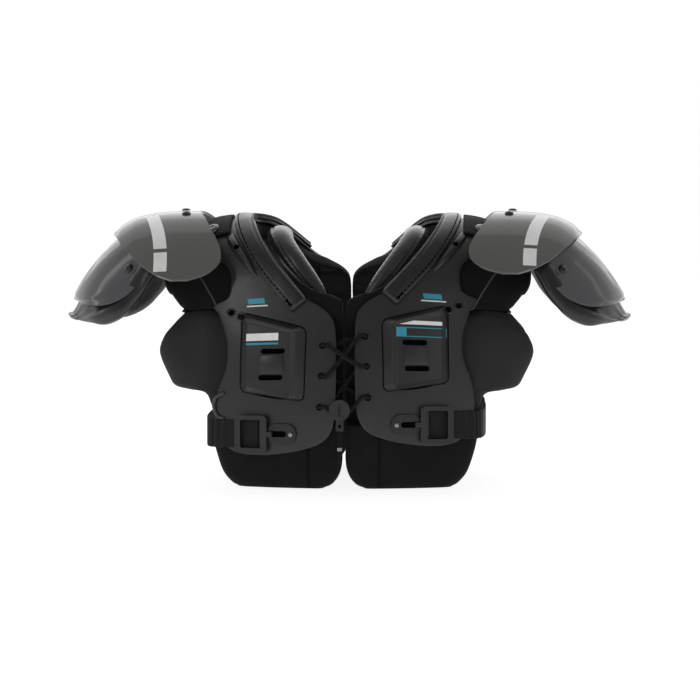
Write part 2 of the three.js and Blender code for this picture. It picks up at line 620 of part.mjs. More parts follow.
// Block with slanted sides on the chest, from its flat top down to a floor. inset draws all of it in.
function panelBlock(side, inset, top, rim, floor) {
  const tall = (PANEL_BASE.topOuter.rise - PANEL_BASE.footOuter.rise) * ARCH_HEIGHT;
  const wide = (PANEL_BASE.footOuter.out - PANEL_BASE.footInner.out) * BODY_HALF_WIDTH;
  const places = [0, 0.1, 0.37, 0.63, 0.9, 1];
  const within = (p) => Math.min(Math.max((p - places[1]) / (places[4] - places[1]), 0), 1);
  const mix = (a, b, f) => a + (b - a) * f;
  return slab(places, places, (r, c, face) => {
    const onRim = r === 0 || r === 1 || c === 0 || c === 1;
    const corners = onRim ? PANEL_BASE : PANEL_TOP;
    const up = mix(inset / tall, 1 - inset / tall, within(r));
    const across = mix(inset / wide, 1 - inset / wide, within(c));
    const foot = (key) => mix(corners.footInner[key], corners.footOuter[key], across);
    const head = (key) => mix(corners.topInner[key], corners.topOuter[key], across);
    const turn = turnOf(lifted(mix(foot("rise"), head("rise"), up), side.lift), false);
    const out = mix(foot("out"), head("out"), up) * BODY_HALF_WIDTH;
    return onArch(side.sign, turn, out, face > 0 ? (onRim ? rim : top) : floor);
  });
}

// Strip that runs along a line on the arch. half(row) gives its half width; level(u, face, row) its height off the
// mid face, with u from -1 to 1 across it.
function stripOnArch(sign, rows, colPlaces, half, level) {
  const spot = (r) => [column(rows, "turn", r), column(rows, "out", r) * BODY_HALF_WIDTH];
  const place = (r, c, face) => {
    const [turn, out] = spot(r);
    const e = 0.01;
    const line = archFace(...spot(Math.min(r + e, 1))).sub(archFace(...spot(Math.max(r - e, 0))));
    const alongTurn = archFace(turn + e, out).sub(archFace(turn - e, out)).divideScalar(2 * e);
    const alongOut = archFace(turn, out + 1).sub(archFace(turn, out - 1)).divideScalar(2);
    const normal = new THREE.Vector3().crossVectors(alongTurn, alongOut);
    const across = new THREE.Vector3().crossVectors(normal, line).normalize();
    const u = 2 * c - 1;
    const shift = across.multiplyScalar(u * half(r));
    const turnShift = shift.dot(alongTurn) / alongTurn.lengthSq();
    const outShift = shift.dot(alongOut) / alongOut.lengthSq();
    return onArch(sign, turn + turnShift, out + outShift, level(u, face, r));
  };
  return slab(steps(rows.length - 1), colPlaces, place);
}

// Hard arch with its raised panel, rib, slots, eyelets and vents
function addPlate(side) {
  const rows = overTheShoulder(PLATE_FRONT, PLATE_BACK, side.lift);
  const half = PLATE_WALL / 2;
  const sheet = slab(steps(rows.length - 1), steps(5), (r, c, face) => {
    const turn = column(rows, "turn", r);
    const inner = column(rows, "inner", r) + side.spread * Math.max(Math.cos(turn), 0);
    const outer = column(rows, "outer", r);
    const out = (inner + (outer - inner) * c) * BODY_HALF_WIDTH;
    return onArch(side.sign, turn, out, face * half);
  });
  const ribRows = RIB.map((row) => ({ ...row, turn: turnOf(lifted(row.rise, side.lift), false) }));
  const ribHalf = (r) => column(ribRows, "half", r) * BODY_HALF_WIDTH;
  const swell = (r) => Math.min(4 * r * (1 - r) + 0.2, 1);
  const ribTop = (u, r) => half + RIB_RELIEF * Math.sqrt(1 - 0.95 * u * u) * swell(r);
  const ribLevel = (u, face, r) => (face > 0 ? ribTop(u, r) : 0);
  const rib = stripOnArch(side.sign, ribRows, steps(4), ribHalf, ribLevel);

  let plate = solidOf(sheet).add(solidOf(rib));
  plate = plate.add(solidOf(panelBlock(side, 0, half + PANEL_RELIEF, half, 0)));
  const pocketTop = half + PANEL_RELIEF - PLATE_WALL;
  plate = plate.subtract(solidOf(panelBlock(side, PLATE_WALL, pocketTop, -half, -PLATE_WALL)));

  const top = half + PANEL_RELIEF;
  const loopSeat = chestSeat(side, {
    rise: (PANEL_SLOTS[0].rise + PANEL_SLOTS[1].rise) / 2,
    out: (PANEL_SLOTS[0].out + PANEL_SLOTS[1].out) / 2,
  });
  const loop = new THREE.BoxGeometry(LOOP_LENGTH, LOOP_WIDTH, PLATE_WALL + LOOP_HEIGHT);
  loop.translate(0, 0, top + (LOOP_HEIGHT - PLATE_WALL) / 2).applyMatrix4(loopSeat);
  plate = plate.add(solidOf(loop));

  const cut = (geometry) => {
    plate = plate.subtract(solidOf(geometry));
  };
  const reach = top + PLATE_WALL;
  for (const spot of PANEL_SLOTS) {
    cut(prism(roundSlot(PANEL_SLOT_LENGTH, PANEL_SLOT_HEIGHT), chestSeat(side, spot), -reach, reach, 2));
  }
  cut(prism(roundSlot(PANEL_VENT_LENGTH, PANEL_VENT_HEIGHT), chestSeat(side, PANEL_VENT), half, reach, 2));
  for (const spot of EYELETS) {
    cut(prism(roundSlot(0, 2 * EYELET_RADIUS), chestSeat(side, spot), -reach, reach, 3));
  }
  for (const spot of VENTS) {
    cut(prism(roundSlot(0, 2 * VENT_RADIUS), chestSeat(side, spot), -reach, reach, 3));
  }
  for (const spot of EYELETS) {
    const seat = seatOnArch(side.sign, turnOf(spot.rise, true), spot.out * BODY_HALF_WIDTH);
    cut(prism(roundSlot(0, 2 * EYELET_RADIUS), seat, -reach, reach, 3));
  }
  addPiece(`arch_plate_${side.name}`, geometryOf(plate.simplify(CHORD_SLACK)), PLASTIC);
}

// Padded liner, flat where it stands on the floor, with a thinner bed for the laces that pass behind the arch
function addLiner(side) {
  const rows = overTheShoulder(LINER_FRONT, LINER_BACK, 0);
  const top = -(PLATE_WALL / 2 + BENT_GAP);
  const [atBed, pastBed] = [0.2, 0.25];
  const cols = [0, atBed, pastBed, 0.6, 0.94, 1];
  const liner = slab(steps(rows.length - 1), cols, (r, c, face) => {
    const inner = column(rows, "inner", r);
    const outer = column(rows, "outer", r);
    const bed = Math.max(LACE_BED, inner + 0.04);
    const step = bed + 0.03;
    const isBed = c <= atBed;
    let share = inner + ((bed - inner) * c) / atBed;
    if (!isBed) share = step + ((outer - step) * (c - pastBed)) / (1 - pastBed);
    const full = LINER_THICKNESS * column(rows, "fill", r);
    const edge = LINER_THICKNESS * 0.25 * (c === 0 || c === 1 ? 1 : 0);
    const ease = (LINER_THICKNESS - full) / 3;
    const rise = Math.sin(column(rows, "turn", r)) ** (2 / ARCH_SQUARENESS);
    const laced = isBed && rise > LACED.from && rise < LACED.to ? LACE_BED_DEPTH : 0;
    const off = face > 0 ? top - Math.max(ease + edge, laced) : top + ease - LINER_THICKNESS + edge;
    return onArch(side.sign, column(rows, "turn", r), share * BODY_HALF_WIDTH, off);
  });
  addPiece(`liner_${side.name}`, liner, FABRIC);
}

// The biggest body of a solid
function largest(solid) {
  return solid.decompose().reduce((a, b) => (b.volume() > a.volume() ? b : a));
}

// Rounded pad below the arm hole, at the chest or at the back
function addSidePad(side, isBack) {
  const cols = [0, 0.1, 0.35, 0.65, 0.9, 1];
  const pad = slab(steps(SIDE_PAD.length - 1), cols, (r, c, face) => {
    const inner = column(SIDE_PAD, "inner", r);
    const outer = column(SIDE_PAD, "outer", r);
    const share = inner + (outer - inner) * c;
    const half = (SIDE_PAD_THICKNESS / 2) * column(SIDE_PAD, "fill", r) * pillow(c, 2.6, 0.16);
    const clear = Math.min(Math.max((share - column(SIDE_PAD, "free", r)) / 0.12, 0), 1);
    const crown = SIDE_PAD_CROWN - SIDE_PAD_THICKNESS / 2;
    const tucked = -(PLATE_WALL / 2 + SEAT_GAP) - SIDE_PAD_THICKNESS / 2;
    const middle = tucked + (crown - tucked) * clear;
    const turn = turnOf(column(SIDE_PAD, "rise", r), isBack);
    return onArch(side.sign, turn, share * BODY_HALF_WIDTH, middle + face * half);
  });
  addPiece(`side_pad_${isBack ? "back" : "front"}_${side.name}`, pad, FABRIC);
}

// Vinyl collar strip on the neck edge of the arch
function addCollar(side) {
  const rows = overTheShoulder(COLLAR_FRONT, COLLAR_BACK, side.lift);
  const seat = PLATE_WALL / 2 + BENT_GAP;
  const rise = (u) => COLLAR_THICKNESS * (0.45 + 0.55 * Math.sqrt(Math.max(1 - u ** 4, 0)));
  const collar = stripOnArch(side.sign, rows, steps(4), () => COLLAR_WIDTH / 2, (u, face) =>
    face > 0 ? seat + rise(u) : seat,
  );
  addPiece(`collar_${side.name}`, collar, VINYL);
}

// Neck roll inside the collar
function addNeckRoll(side) {
  const rows = overTheShoulder(ROLL_FRONT, ROLL_BACK, 0);
  const half = (r) => column(rows, "half", r) * BODY_HALF_WIDTH;
  const cols = [0, 0.1, 0.35, 0.65, 0.9, 1];
  const roll = stripOnArch(side.sign, rows, cols, half, (u, face, r) => {
    const thick = (ROLL_DEPTH / 2) * column(rows, "fill", r) * (0.1 + 0.9 * Math.sqrt(1 - u * u));
    return -ROLL_DEPTH * column(rows, "sink", r) + face * thick;
  });
  addPiece(`neck_roll_${side.name}`, roll, VINYL);
}

// Outer face of the epaulet: along runs from -1 at its front edge to 1 at its back edge
function epauletFace(sign, along, out, drop) {
  const up = SHOULDER_HEIGHT * heightAt(EPAULET_RIDGE, out / EPAULET_REACH);
  const z = up - drop * Math.abs(along) ** EPAULET_BEND;
  return new THREE.Vector3(sign * out, along * EPAULET_HALF_LENGTH, z);
}

function epauletDrop(side, along) {
  return EPAULET_DROP + (along < 0 ? side.capDrop : 0);
}

// Point at a depth below the outer face of the epaulet
function underEpaulet(side, along, out, depth) {
  const face = (a, o) => epauletFace(side.sign, a, o * EPAULET_REACH, epauletDrop(side, along));
  const inside = new THREE.Vector3(side.sign * EPAULET_REACH * 0.7, 0, SHOULDER_HEIGHT - 2 * EPAULET_DROP);
  const normal = normalOf(face, along, out / EPAULET_REACH, inside);
  return face(along, out / EPAULET_REACH).addScaledVector(normal, -depth);
}

function addEpaulet(side) {
  const front = EPAULET.map((row) => ({ ...row, along: -row.along }));
  const rows = refined([...front.reverse(), ...EPAULET.slice(1)], "along", 0.2);
  const shell = slab(steps(rows.length - 1), steps(5), (r, c, face) => {
    const inner = column(rows, "inner", r);
    const outer = column(rows, "outer", r);
    const out = (inner + (outer - inner) * c) * EPAULET_REACH;
    return underEpaulet(side, column(rows, "along", r), out, face > 0 ? 0 : EPAULET_WALL);
  });
  addPiece(`epaulet_${side.name}`, shell, SMOKED);
}

// Knitted web that lies on the arch, carries the epaulet and holds the cup
function addWeb(side) {
  const rowCount = Math.round((Math.PI - 2 * WEB_FROM) / CREST_STEP);
  const web = slab(steps(rowCount), [0, 0.14, 0.26, 0.38, 0.5, 0.65, 0.82, 1], (r, c, face) => {
    const turn = WEB_FROM + (Math.PI - 2 * WEB_FROM) * r;
    const share = WEB_START + (WEB_END - WEB_START) * c;
    const out = share * BODY_HALF_WIDTH;
    const low = PLATE_WALL / 2 + 2 * BENT_GAP;
    const onPlate = onArch(side.sign, turn, out, face > 0 ? low + WEB_THICKNESS : low);
    const below = EPAULET_WALL + 3 * BENT_GAP + (face > 0 ? 0 : WEB_THICKNESS);
    const hung = underEpaulet(side, archFace(turn, 0).y / EPAULET_HALF_LENGTH, out, below);
    const f = Math.min(Math.max((share - WEB_LEAVES_ARCH) / (WEB_MEETS_EPAULET - WEB_LEAVES_ARCH), 0), 1);
    return onPlate.lerp(hung, f * f * (3 - 2 * f));
  });
  addPiece(`shoulder_web_${side.name}`, web, KNIT);
}

// Point at a depth below the outer face of the cup or of its pad.
// c runs from 0 at the front hem to 1 at the back hem.
function underDome(sign, table, reach, half, r, c, depth) {
  const face = (a, b) => {
    const v = 2 * b - 1;
    const bend = Math.abs(v) ** CUP_BEND;
    const at = (name) => column(table, name, a);
    const mix = (ridge, hem) => at(ridge) + (at(hem) - at(ridge)) * bend;
    const out = mix("out", "hemOut") * reach;
    return new THREE.Vector3(sign * out, v * at("half") * half, mix("up", "hemUp") * SHOULDER_HEIGHT);
  };
  const inside = new THREE.Vector3(sign * reach * 0.6, 0, SHOULDER_HEIGHT / 2);
  const clamp = (p) => Math.min(Math.max(p, 0.004), 0.996);
  return face(r, c).addScaledVector(normalOf(face, clamp(r), clamp(c), inside), -depth);
}

function cupPoint(side, r, c, depth) {
  return underDome(side.sign, CUP, CUP_REACH, CUP_HALF_LENGTH, r, c, depth);
}

function addCup(side) {
  const place = (r, c, face) => cupPoint(side, r, c, face > 0 ? 0 : CUP_WALL);
  const shell = slab(steps(CUP.length - 1), steps(10), place);
  addPiece(`shoulder_cup_${side.name}`, shell, CUP_PLASTIC);
}

// Padding that the cup presses into
function addCupPad(side) {
  const cols = [0, 0.04, 0.15, 0.32, 0.5, 0.68, 0.85, 0.96, 1];
  const pad = slab(steps(CUP_PAD.length - 1), cols, (r, c, face) => {
    const full = CUP_PAD_THICKNESS * column(CUP_PAD, "fill", r);
    const round = CUP_PAD_THICKNESS * 0.3 * (1 - pillow(c, 12, 0));
    const ease = (CUP_PAD_THICKNESS - full) / 2;
    const depth = face > 0 ? ease + round : CUP_PAD_THICKNESS - ease - round;
    return underDome(side.sign, CUP_PAD, CUP_PAD_REACH, CUP_PAD_HALF_LENGTH, r, c, depth);
  });
  const room = (above, depth, length) =>
    slab(steps(CUP.length - 1), steps(10), (r, c, face) =>
      underDome(side.sign, CUP, CUP_REACH, length, r, c, face > 0 ? -above : depth),
    );
  const shell = () => room(0, CUP_WALL, CUP_HALF_LENGTH);
  const rooms = [
    room(3 * CUP_WALL, CUP_WALL + 1.5 * BENT_GAP, CUP_HALF_LENGTH + 1.5 * BENT_GAP),
    ...CUP_PLAY.map(([out, along, up]) => shell().translate(side.sign * out, along, up)),
  ];
  const pressed = largest(rooms.reduce((left, room) => left.subtract(solidOf(room)), solidOf(pad)));
  addPiece(`cup_pad_${side.name}`, geometryOf(pressed.simplify(CHORD_SLACK)), FABRIC);
}

// Seat on any face: point(dr, dc, depth) gives points of the face near the seat
function seatOnFace(point, depth) {
  const origin = point(0, 0, depth);
  const away = point(0, 0, depth - 1).sub(origin).normalize();
  const along = point(0.02, 0, depth).sub(origin).projectOnPlane(away).normalize();
  const across = new THREE.Vector3().crossVectors(away, along);
  return new THREE.Matrix4().makeBasis(along, across, away).setPosition(origin);
}

// Domed rivet head, flat underneath
function addRivet(name, seat, radius, finish) {
  const profile = [
    [0, 0], [1, 0], [1, 0.35], [0.65, 0.85], [0, 1],
  ].map(([r, h]) => new THREE.Vector2(r * radius, h * RIVET_HEIGHT));
  const head = new THREE.LatheGeometry(profile, 7).rotateX(Math.PI / 2).applyMatrix4(seat);
  addPiece(name, head, finish);
}

function addRivets(side) {
  const seatTop = PLATE_WALL / 2 + WEB_THICKNESS + 2.5 * BENT_GAP;
  const webTurn = Math.acos((WEB_RIVET_FORWARD / FRONT_DEPTH) ** (ARCH_SQUARENESS / 2));
  const webSeat = seatOnArch(side.sign, webTurn, WEB_RIVET_OUT * BODY_HALF_WIDTH, seatTop + SEAT_GAP);
  addRivet(`web_rivet_${side.name}`, webSeat, WEB_RIVET_RADIUS, STEEL);
  for (const spot of EPAULET_RIVETS) {
    const outAt = (dout) => (spot.out + dout) * EPAULET_REACH;
    const near = (da, dout, depth) => underEpaulet(side, spot.along + da, outAt(dout), depth);
    const seat = seatOnFace(near, -SEAT_GAP);
    addRivet(`epaulet_rivet_${spot.name}_${side.name}`, seat, RIVET_RADIUS, BLACK_PLASTIC);
  }
  const near = (dr, dc, depth) => cupPoint(side, CUP_RIVET.r + dr, CUP_RIVET.c + dc, depth);
  addRivet(`cup_rivet_${side.name}`, seatOnFace(near, -2 * SEAT_GAP), RIVET_RADIUS, BLACK_PLASTIC);
}

// Middle face of the side strap at a height. p runs from 0 at its front end, over the arch,
// round the side, to 1 at the back
function strapPoint(side, p, z, off) {
  const turn = (isBack) => turnOf(z / ARCH_HEIGHT, isBack);
  const leave = STRAP_LEAVES_ARCH * BODY_HALF_WIDTH;
  const onPlate = (isBack, out) => onArch(1, turn(isBack), out, PLATE_WALL / 2 + SEAT_GAP + off);
  const plan = (isBack) => {
    const [a, b] = [onPlate(isBack, leave - 1), onPlate(isBack, leave)];
    const ahead = b.clone().sub(a).normalize().multiplyScalar(STRAP_SWING);
    const side0 = new THREE.Vector3(SIDE_REACH + off - STRAP_THICKNESS, 0, z);
    const away = new THREE.Vector3(0, isBack ? STRAP_SWING : -STRAP_SWING, 0);
    return new THREE.CubicBezierCurve3(b, b.clone().add(ahead), side0.clone().add(away), side0);
  };
  const isBack = p > 0.5;
  const q = 2 * (isBack ? 1 - p : p);
  const flat = 0.3;
  const end = (isBack ? STRAP_BACK_END : STRAP_FRONT_END) * BODY_HALF_WIDTH;
  const lying = () => onPlate(isBack, end + (leave - end) * (q / flat));
  const point = q < flat ? lying() : plan(isBack).getPoint((q - flat) / (1 - flat));
  return new THREE.Vector3(side.sign * point.x, point.y, point.z);
}

function addStrap(side) {
  const firstHalf = [0, 0.05, 0.1, 0.15, 0.19, 0.23, 0.27, 0.31, 0.36, 0.42, 0.5];
  const places = [...firstHalf, 0.58, 0.64, 0.69, 0.73, 0.77, 0.81, 0.85, 0.9, 0.95, 1];
  const middle = STRAP_RISE * ARCH_HEIGHT + side.lift;
  const strap = slab(places, steps(1), (r, c, face) =>
    strapPoint(side, r, middle + (c - 0.5) * STRAP_WIDTH, face > 0 ? STRAP_THICKNESS : 0),
  );
  addPiece(`side_strap_${side.name}`, strap, KNIT);
  const off = PLATE_WALL / 2 + STRAP_THICKNESS + 2 * SEAT_GAP;
  const out = (STRAP_BACK_END + 0.07) * BODY_HALF_WIDTH;
  const seat = seatOnArch(side.sign, turnOf(middle / ARCH_HEIGHT, true), out, off);
  addRivet(`strap_rivet_${side.name}`, seat, RIVET_RADIUS, BLACK_PLASTIC);
}

// Rounded rectangle
function roundedBox(width, height, radius) {
  const shape = new THREE.Shape();
  const [x, y] = [width / 2 - radius, height / 2 - radius];
  shape.absarc(x, y, radius, 0, Math.PI / 2);
  shape.absarc(-x, y, radius, Math.PI / 2, Math.PI);
  shape.absarc(-x, -y, radius, Math.PI, 1.5 * Math.PI);
  shape.absarc(x, -y, radius, 1.5 * Math.PI, 2 * Math.PI);
  return shape;
}

// Hook plate riveted to the chest, and the buckle frame whose hook stands in its slot
function addBuckle(side) {
  const base = PLATE_WALL / 2 + SEAT_GAP;
  const seat = chestSeat(side, BUCKLE_SPOT);
  const inward = -side.sign;
  const shifted = (x) => seat.clone().multiply(new THREE.Matrix4().makeTranslation(inward * x, 0, 0));
  const plateMiddle = BUCKLE_WIDTH / 2 + HOOK_PLATE_REACH / 2 - BUCKLE_RAIL / 2;
  const plateSeat = chestSeat(side, {
    rise: BUCKLE_SPOT.rise,
    out: BUCKLE_SPOT.out - plateMiddle / BODY_HALF_WIDTH,
  });
  const outline = roundSlot(HOOK_PLATE_REACH, HOOK_PLATE_HEIGHT);
  const floor = base + SEAT_GAP;
  const hooked = prism(outline, plateSeat, floor, floor + HOOK_PLATE_THICKNESS, 4);
  const slotOffset = new THREE.Matrix4().makeTranslation(-inward * HOOK_SLOT_SHIFT, 0, 0);
  const slotSeat = plateSeat.clone().multiply(slotOffset);
  const slotOutline = roundSlot(HOOK_SLOT_LENGTH, HOOK_SLOT_HEIGHT);
  const slot = prism(slotOutline, slotSeat, 0, 2 * floor + HOOK_PLATE_THICKNESS, 3);
  addPiece(`hook_plate_${side.name}`, geometryOf(solidOf(hooked).subtract(solidOf(slot))), BLACK_PLASTIC);
  const rivetLift = floor + HOOK_PLATE_THICKNESS + SEAT_GAP;
  const rivetOffset = new THREE.Matrix4().makeTranslation(inward * HOOK_RIVET_SHIFT, 0, rivetLift);
  addRivet(`hook_rivet_${side.name}`, plateSeat.clone().multiply(rivetOffset), HOOK_RIVET_RADIUS, STEEL);

  const low = floor + HOOK_PLATE_THICKNESS + 2 * SEAT_GAP;
  const shape = roundedBox(BUCKLE_WIDTH, BUCKLE_HEIGHT, 4);
  shape.holes.push(roundedBox(BUCKLE_WIDTH - 2 * BUCKLE_RAIL, BUCKLE_HEIGHT - 2 * BUCKLE_RAIL + 3, 2));
  let frame = solidOf(prism(shape, seat, low, low + BUCKLE_THICKNESS, 2));
  const tongue = new THREE.BoxGeometry(HOOK_LENGTH + 2, HOOK_SLOT_HEIGHT - 1.2, BUCKLE_THICKNESS);
  tongue.translate(0, 0, low + BUCKLE_THICKNESS / 2);
  tongue.applyMatrix4(shifted(BUCKLE_WIDTH / 2 + HOOK_LENGTH / 2 - 1));
  const tooth = new THREE.BoxGeometry(2, HOOK_SLOT_HEIGHT - 1.2, BUCKLE_THICKNESS);
  tooth.translate(0, 0, low - HOOK_BITE + BUCKLE_THICKNESS / 2);
  tooth.applyMatrix4(shifted(BUCKLE_WIDTH / 2 + HOOK_LENGTH - 1));
  frame = frame.add(solidOf(tongue)).add(solidOf(tooth));
  addPiece(`buckle_${side.name}`, geometryOf(frame), BLACK_PLASTIC);
}

// Round cord along a line of points, with six sides
function cord(points, radius) {
  const sides = 6;
  const rings = [];
  let across = null;
  points.forEach((point, i) => {
    const before = points[Math.max(i - 1, 0)];
    const after = points[Math.min(i + 1, points.length - 1)];
    const along = after.clone().sub(before).normalize();
    if (across === null) across = new THREE.Vector3(0, 0, 1).cross(along);
    across.projectOnPlane(along).normalize();
    const other = along.clone().cross(across);
    for (let k = 0; k < sides; k++) {
      const angle = (2 * Math.PI * k) / sides;
      const spoke = across.clone().multiplyScalar(Math.cos(angle)).addScaledVector(other, Math.sin(angle));
      rings.push(...point.clone().addScaledVector(spoke, radius).toArray());
    }
  });
  const index = [];
  for (let i = 0; i < points.length - 1; i++) {
    for (let k = 0; k < sides; k++) {
      const [a, b] = [i * sides + k, i * sides + ((k + 1) % sides)];
      index.push(a, b, b + sides, a, b + sides, a + sides);
    }
  }
  const last = (points.length - 1) * sides;
  for (let k = 1; k < sides - 1; k++) index.push(0, k + 1, k, last, last + k, last + k + 1);
  const geometry = new THREE.BufferGeometry();
  geometry.setAttribute("position", new THREE.Float32BufferAttribute(rings, 3));
  geometry.setIndex(index);
  return facingOut(geometry);
}

// Middle of the cord lock in the front lacing, or of the knot in the back lacing
function lockPlace(isBack, off) {
  const turn = turnOf(LOCK_SPOT.rise, isBack);
  return onArch(isBack ? 1 : -1, turn, isBack ? 0 : LOCK_SPOT.out * BODY_HALF_WIDTH, off);
}

// Line of a lace through the six eyelets: out of the lock, across behind the arch, crossed in front, and back
function laceLine(isBack) {
  const [left, right] = SIDES;
  const over = PLATE_WALL / 2 + SEAT_GAP + LACE_DIAMETER / 2 + LACE_SLACK;
  const step = LACE_DIAMETER + SEAT_GAP;
  const lockOff = PLATE_WALL / 2 + SEAT_GAP + LOCK_THICKNESS / 2;
  const at = (side, i, off, inward) => {
    const rise = isBack ? EYELETS[i].rise : lifted(EYELETS[i].rise, side.lift);
    return onArch(side.sign, turnOf(rise, isBack), EYELETS[i].out * BODY_HALF_WIDTH - inward, off);
  };
  const through = (side, i, outward) => {
    const reach = 0.6 * over;
    const swing = 1.4 * LACE_DIAMETER;
    const set = [
      at(side, i, -over, swing), at(side, i, -reach, 0), at(side, i, reach, 0), at(side, i, over, swing),
    ];
    return outward ? set : set.reverse();
  };
  const between = (a, b, off) => {
    const [from, to] = [at(...a, 0, 0), at(...b, 0, 0)];
    const middle = from.lerp(to, 0.5);
    middle.y = onArch(1, turnOf(middle.z / ARCH_HEIGHT, isBack), 0, off).y;
    return middle;
  };
  const lock = (shift) => {
    const place = lockPlace(isBack, lockOff);
    place.x += shift;
    return place;
  };
  const line = [
    lock(-LACE_END_GAP), lock(-LOCK_RADIUS), ...through(left, 2, false),
    between([left, 2], [right, 1], -over), ...through(right, 1, true),
    between([right, 1], [left, 0], over + step), ...through(left, 0, false),
    between([left, 0], [right, 0], -over), ...through(right, 0, true),
    between([right, 0], [left, 1], over), ...through(left, 1, false),
    between([left, 1], [right, 2], -over - step), ...through(right, 2, true),
    lock(LOCK_RADIUS), lock(LACE_END_GAP),
  ];
  return line;
}

// Cord lock with its tab on the front lace, and the short tail that hangs from the tab
function addLaces() {
  const frontLine = laceLine(false);
  addPiece("lace_front", cord(frontLine, LACE_DIAMETER / 2), LACE);

  const base = PLATE_WALL / 2 + SEAT_GAP;
  const seat = seatOnArch(-1, turnOf(LOCK_SPOT.rise, false), LOCK_SPOT.out * BODY_HALF_WIDTH);
  const tabMiddle = -(LOCK_RADIUS + TAB_LENGTH / 2 - 1.5);
  const moved = (x, y) => seat.clone().multiply(new THREE.Matrix4().makeTranslation(x, y, 0));
  const disc = prism(roundSlot(0, 2 * LOCK_RADIUS), seat, base, base + LOCK_THICKNESS, 8);
  const tab = prism(roundedBox(TAB_WIDTH, TAB_LENGTH, 1), moved(0, tabMiddle), base, base + TAB_THICKNESS, 2);
  const standing = seat.clone().multiply(new THREE.Matrix4().makeRotationZ(Math.PI / 2));
  const top = base + LOCK_THICKNESS;
  const slotOutline = roundSlot(LOCK_SLOT_LENGTH, LOCK_SLOT_WIDTH);
  const slot = prism(slotOutline, standing, top - LOCK_SLOT_DEPTH, top + 1, 3);
  const hole = prism(roundSlot(0, 2 * TAB_HOLE_RADIUS), moved(0, tabMiddle - 1), base - 1, top, 4);
  const tailOff = base + TAB_THICKNESS / 2;
  const tailPoint = (y, off) => new THREE.Vector3(0, y, off).applyMatrix4(seat);
  const start = tabMiddle - 1;
  const tailLine = [start, start - 0.35 * TAIL_LENGTH, start - 0.7 * TAIL_LENGTH, start - TAIL_LENGTH];
  const tail = tailLine.map((y) => tailPoint(y, tailOff));
  const socket = cord([tailPoint(start + 0.4, tailOff), tail[3]], TAIL_DIAMETER / 2 + SEAT_GAP);
  const bore = cord(
    [-2, 2].map((k) => new THREE.Vector3(k * LOCK_RADIUS, 0, base + LOCK_THICKNESS / 2).applyMatrix4(seat)),
    LACE_DIAMETER / 2 + 2 * SEAT_GAP,
  );
  let lock = solidOf(disc).add(solidOf(tab)).subtract(solidOf(slot)).subtract(solidOf(hole));
  lock = lock.subtract(solidOf(socket)).subtract(solidOf(bore));
  addPiece("lace_lock", geometryOf(largest(lock)), BLACK_PLASTIC);
  addPiece("lace_tail", cord(tail, TAIL_DIAMETER / 2), LACE);
  const ring = new THREE.Shape().absarc(0, 0, TAIL_DIAMETER / 2 + SEAT_GAP + 1, 0, 2 * Math.PI);
  ring.holes.push(new THREE.Path().absarc(0, 0, TAIL_DIAMETER / 2 + SEAT_GAP, 0, 2 * Math.PI));
  const crimpSeat = new THREE.Matrix4().makeTranslation(0, start - CRIMP_PLACE * TAIL_LENGTH, tailOff);
  crimpSeat.multiply(new THREE.Matrix4().makeRotationX(Math.PI / 2)).premultiply(seat);
  addPiece("lace_crimp", prism(ring, crimpSeat, -CRIMP_LENGTH / 2, CRIMP_LENGTH / 2, 5), STEEL);

  const knotPlace = lockPlace(true, base + LOCK_THICKNESS / 2);
  const knot = new THREE.SphereGeometry(KNOT_RADIUS, 8, 6).translate(...knotPlace.toArray());
  const backLace = solidOf(cord(laceLine(true), LACE_DIAMETER / 2)).add(solidOf(knot));
  addPiece("lace_back", geometryOf(backLace), LACE);
}

for (const side of SIDES) {
  addPlate(side);
  addLiner(side);
  addSidePad(side, false);
  addSidePad(side, true);
  addCollar(side);
  addNeckRoll(side);
  addEpaulet(side);
  addWeb(side);
  addCup(side);
  addCupPad(side);
  addRivets(side);
  addStrap(side);
  addBuckle(side);
}
addLaces();

// The origin is on the floor, below the middle of the pads
const box = new THREE.Box3().setFromObject(pads);
const middle = box.getCenter(new THREE.Vector3()).setZ(box.min.z);
for (const mesh of pads.children) mesh.position.copy(middle).negate();

export default pads;
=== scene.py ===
# Football shoulder pads dressed for a studio photograph, in metres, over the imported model
import math

import bmesh
import bpy
import numpy as np
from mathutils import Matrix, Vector


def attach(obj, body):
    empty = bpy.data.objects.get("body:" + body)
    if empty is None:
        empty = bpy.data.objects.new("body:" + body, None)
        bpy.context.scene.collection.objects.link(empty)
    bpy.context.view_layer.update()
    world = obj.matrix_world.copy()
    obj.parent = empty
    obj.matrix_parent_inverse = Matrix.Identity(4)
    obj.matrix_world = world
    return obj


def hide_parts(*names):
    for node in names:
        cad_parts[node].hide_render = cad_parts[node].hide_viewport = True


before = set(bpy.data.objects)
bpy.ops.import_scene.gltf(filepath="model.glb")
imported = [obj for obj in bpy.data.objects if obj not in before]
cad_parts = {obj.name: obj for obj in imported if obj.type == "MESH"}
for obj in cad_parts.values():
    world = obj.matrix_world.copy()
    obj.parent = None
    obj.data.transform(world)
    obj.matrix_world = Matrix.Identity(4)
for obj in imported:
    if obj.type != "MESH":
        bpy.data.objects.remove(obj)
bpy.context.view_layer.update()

# Driving sizes of the pads, in millimetres, as in the part's source
ARCH_HEIGHT = 245
FRONT_DEPTH = 112
BACK_DEPTH = 116
BODY_HALF_WIDTH = 130
ARCH_SQUARENESS = 2.6
WRAP_DEPTH = 27
SHOULDER_FALL = 13
PLATE_WALL = 3
SEAT_GAP = 0.3
BENT_GAP = 0.6
LINER_THICKNESS = 16
COLLAR_WIDTH = 17.5
COLLAR_THICKNESS = 4.5
ROLL_DEPTH = 20
SHOULDER_HEIGHT = 253
EPAULET_REACH = 222
EPAULET_HALF_LENGTH = 105
EPAULET_DROP = 60
EPAULET_WALL = 3
EPAULET_BEND = 2.6
WEB_THICKNESS = 2.6
WEB_FROM = math.pi / 2 - math.pi / 10
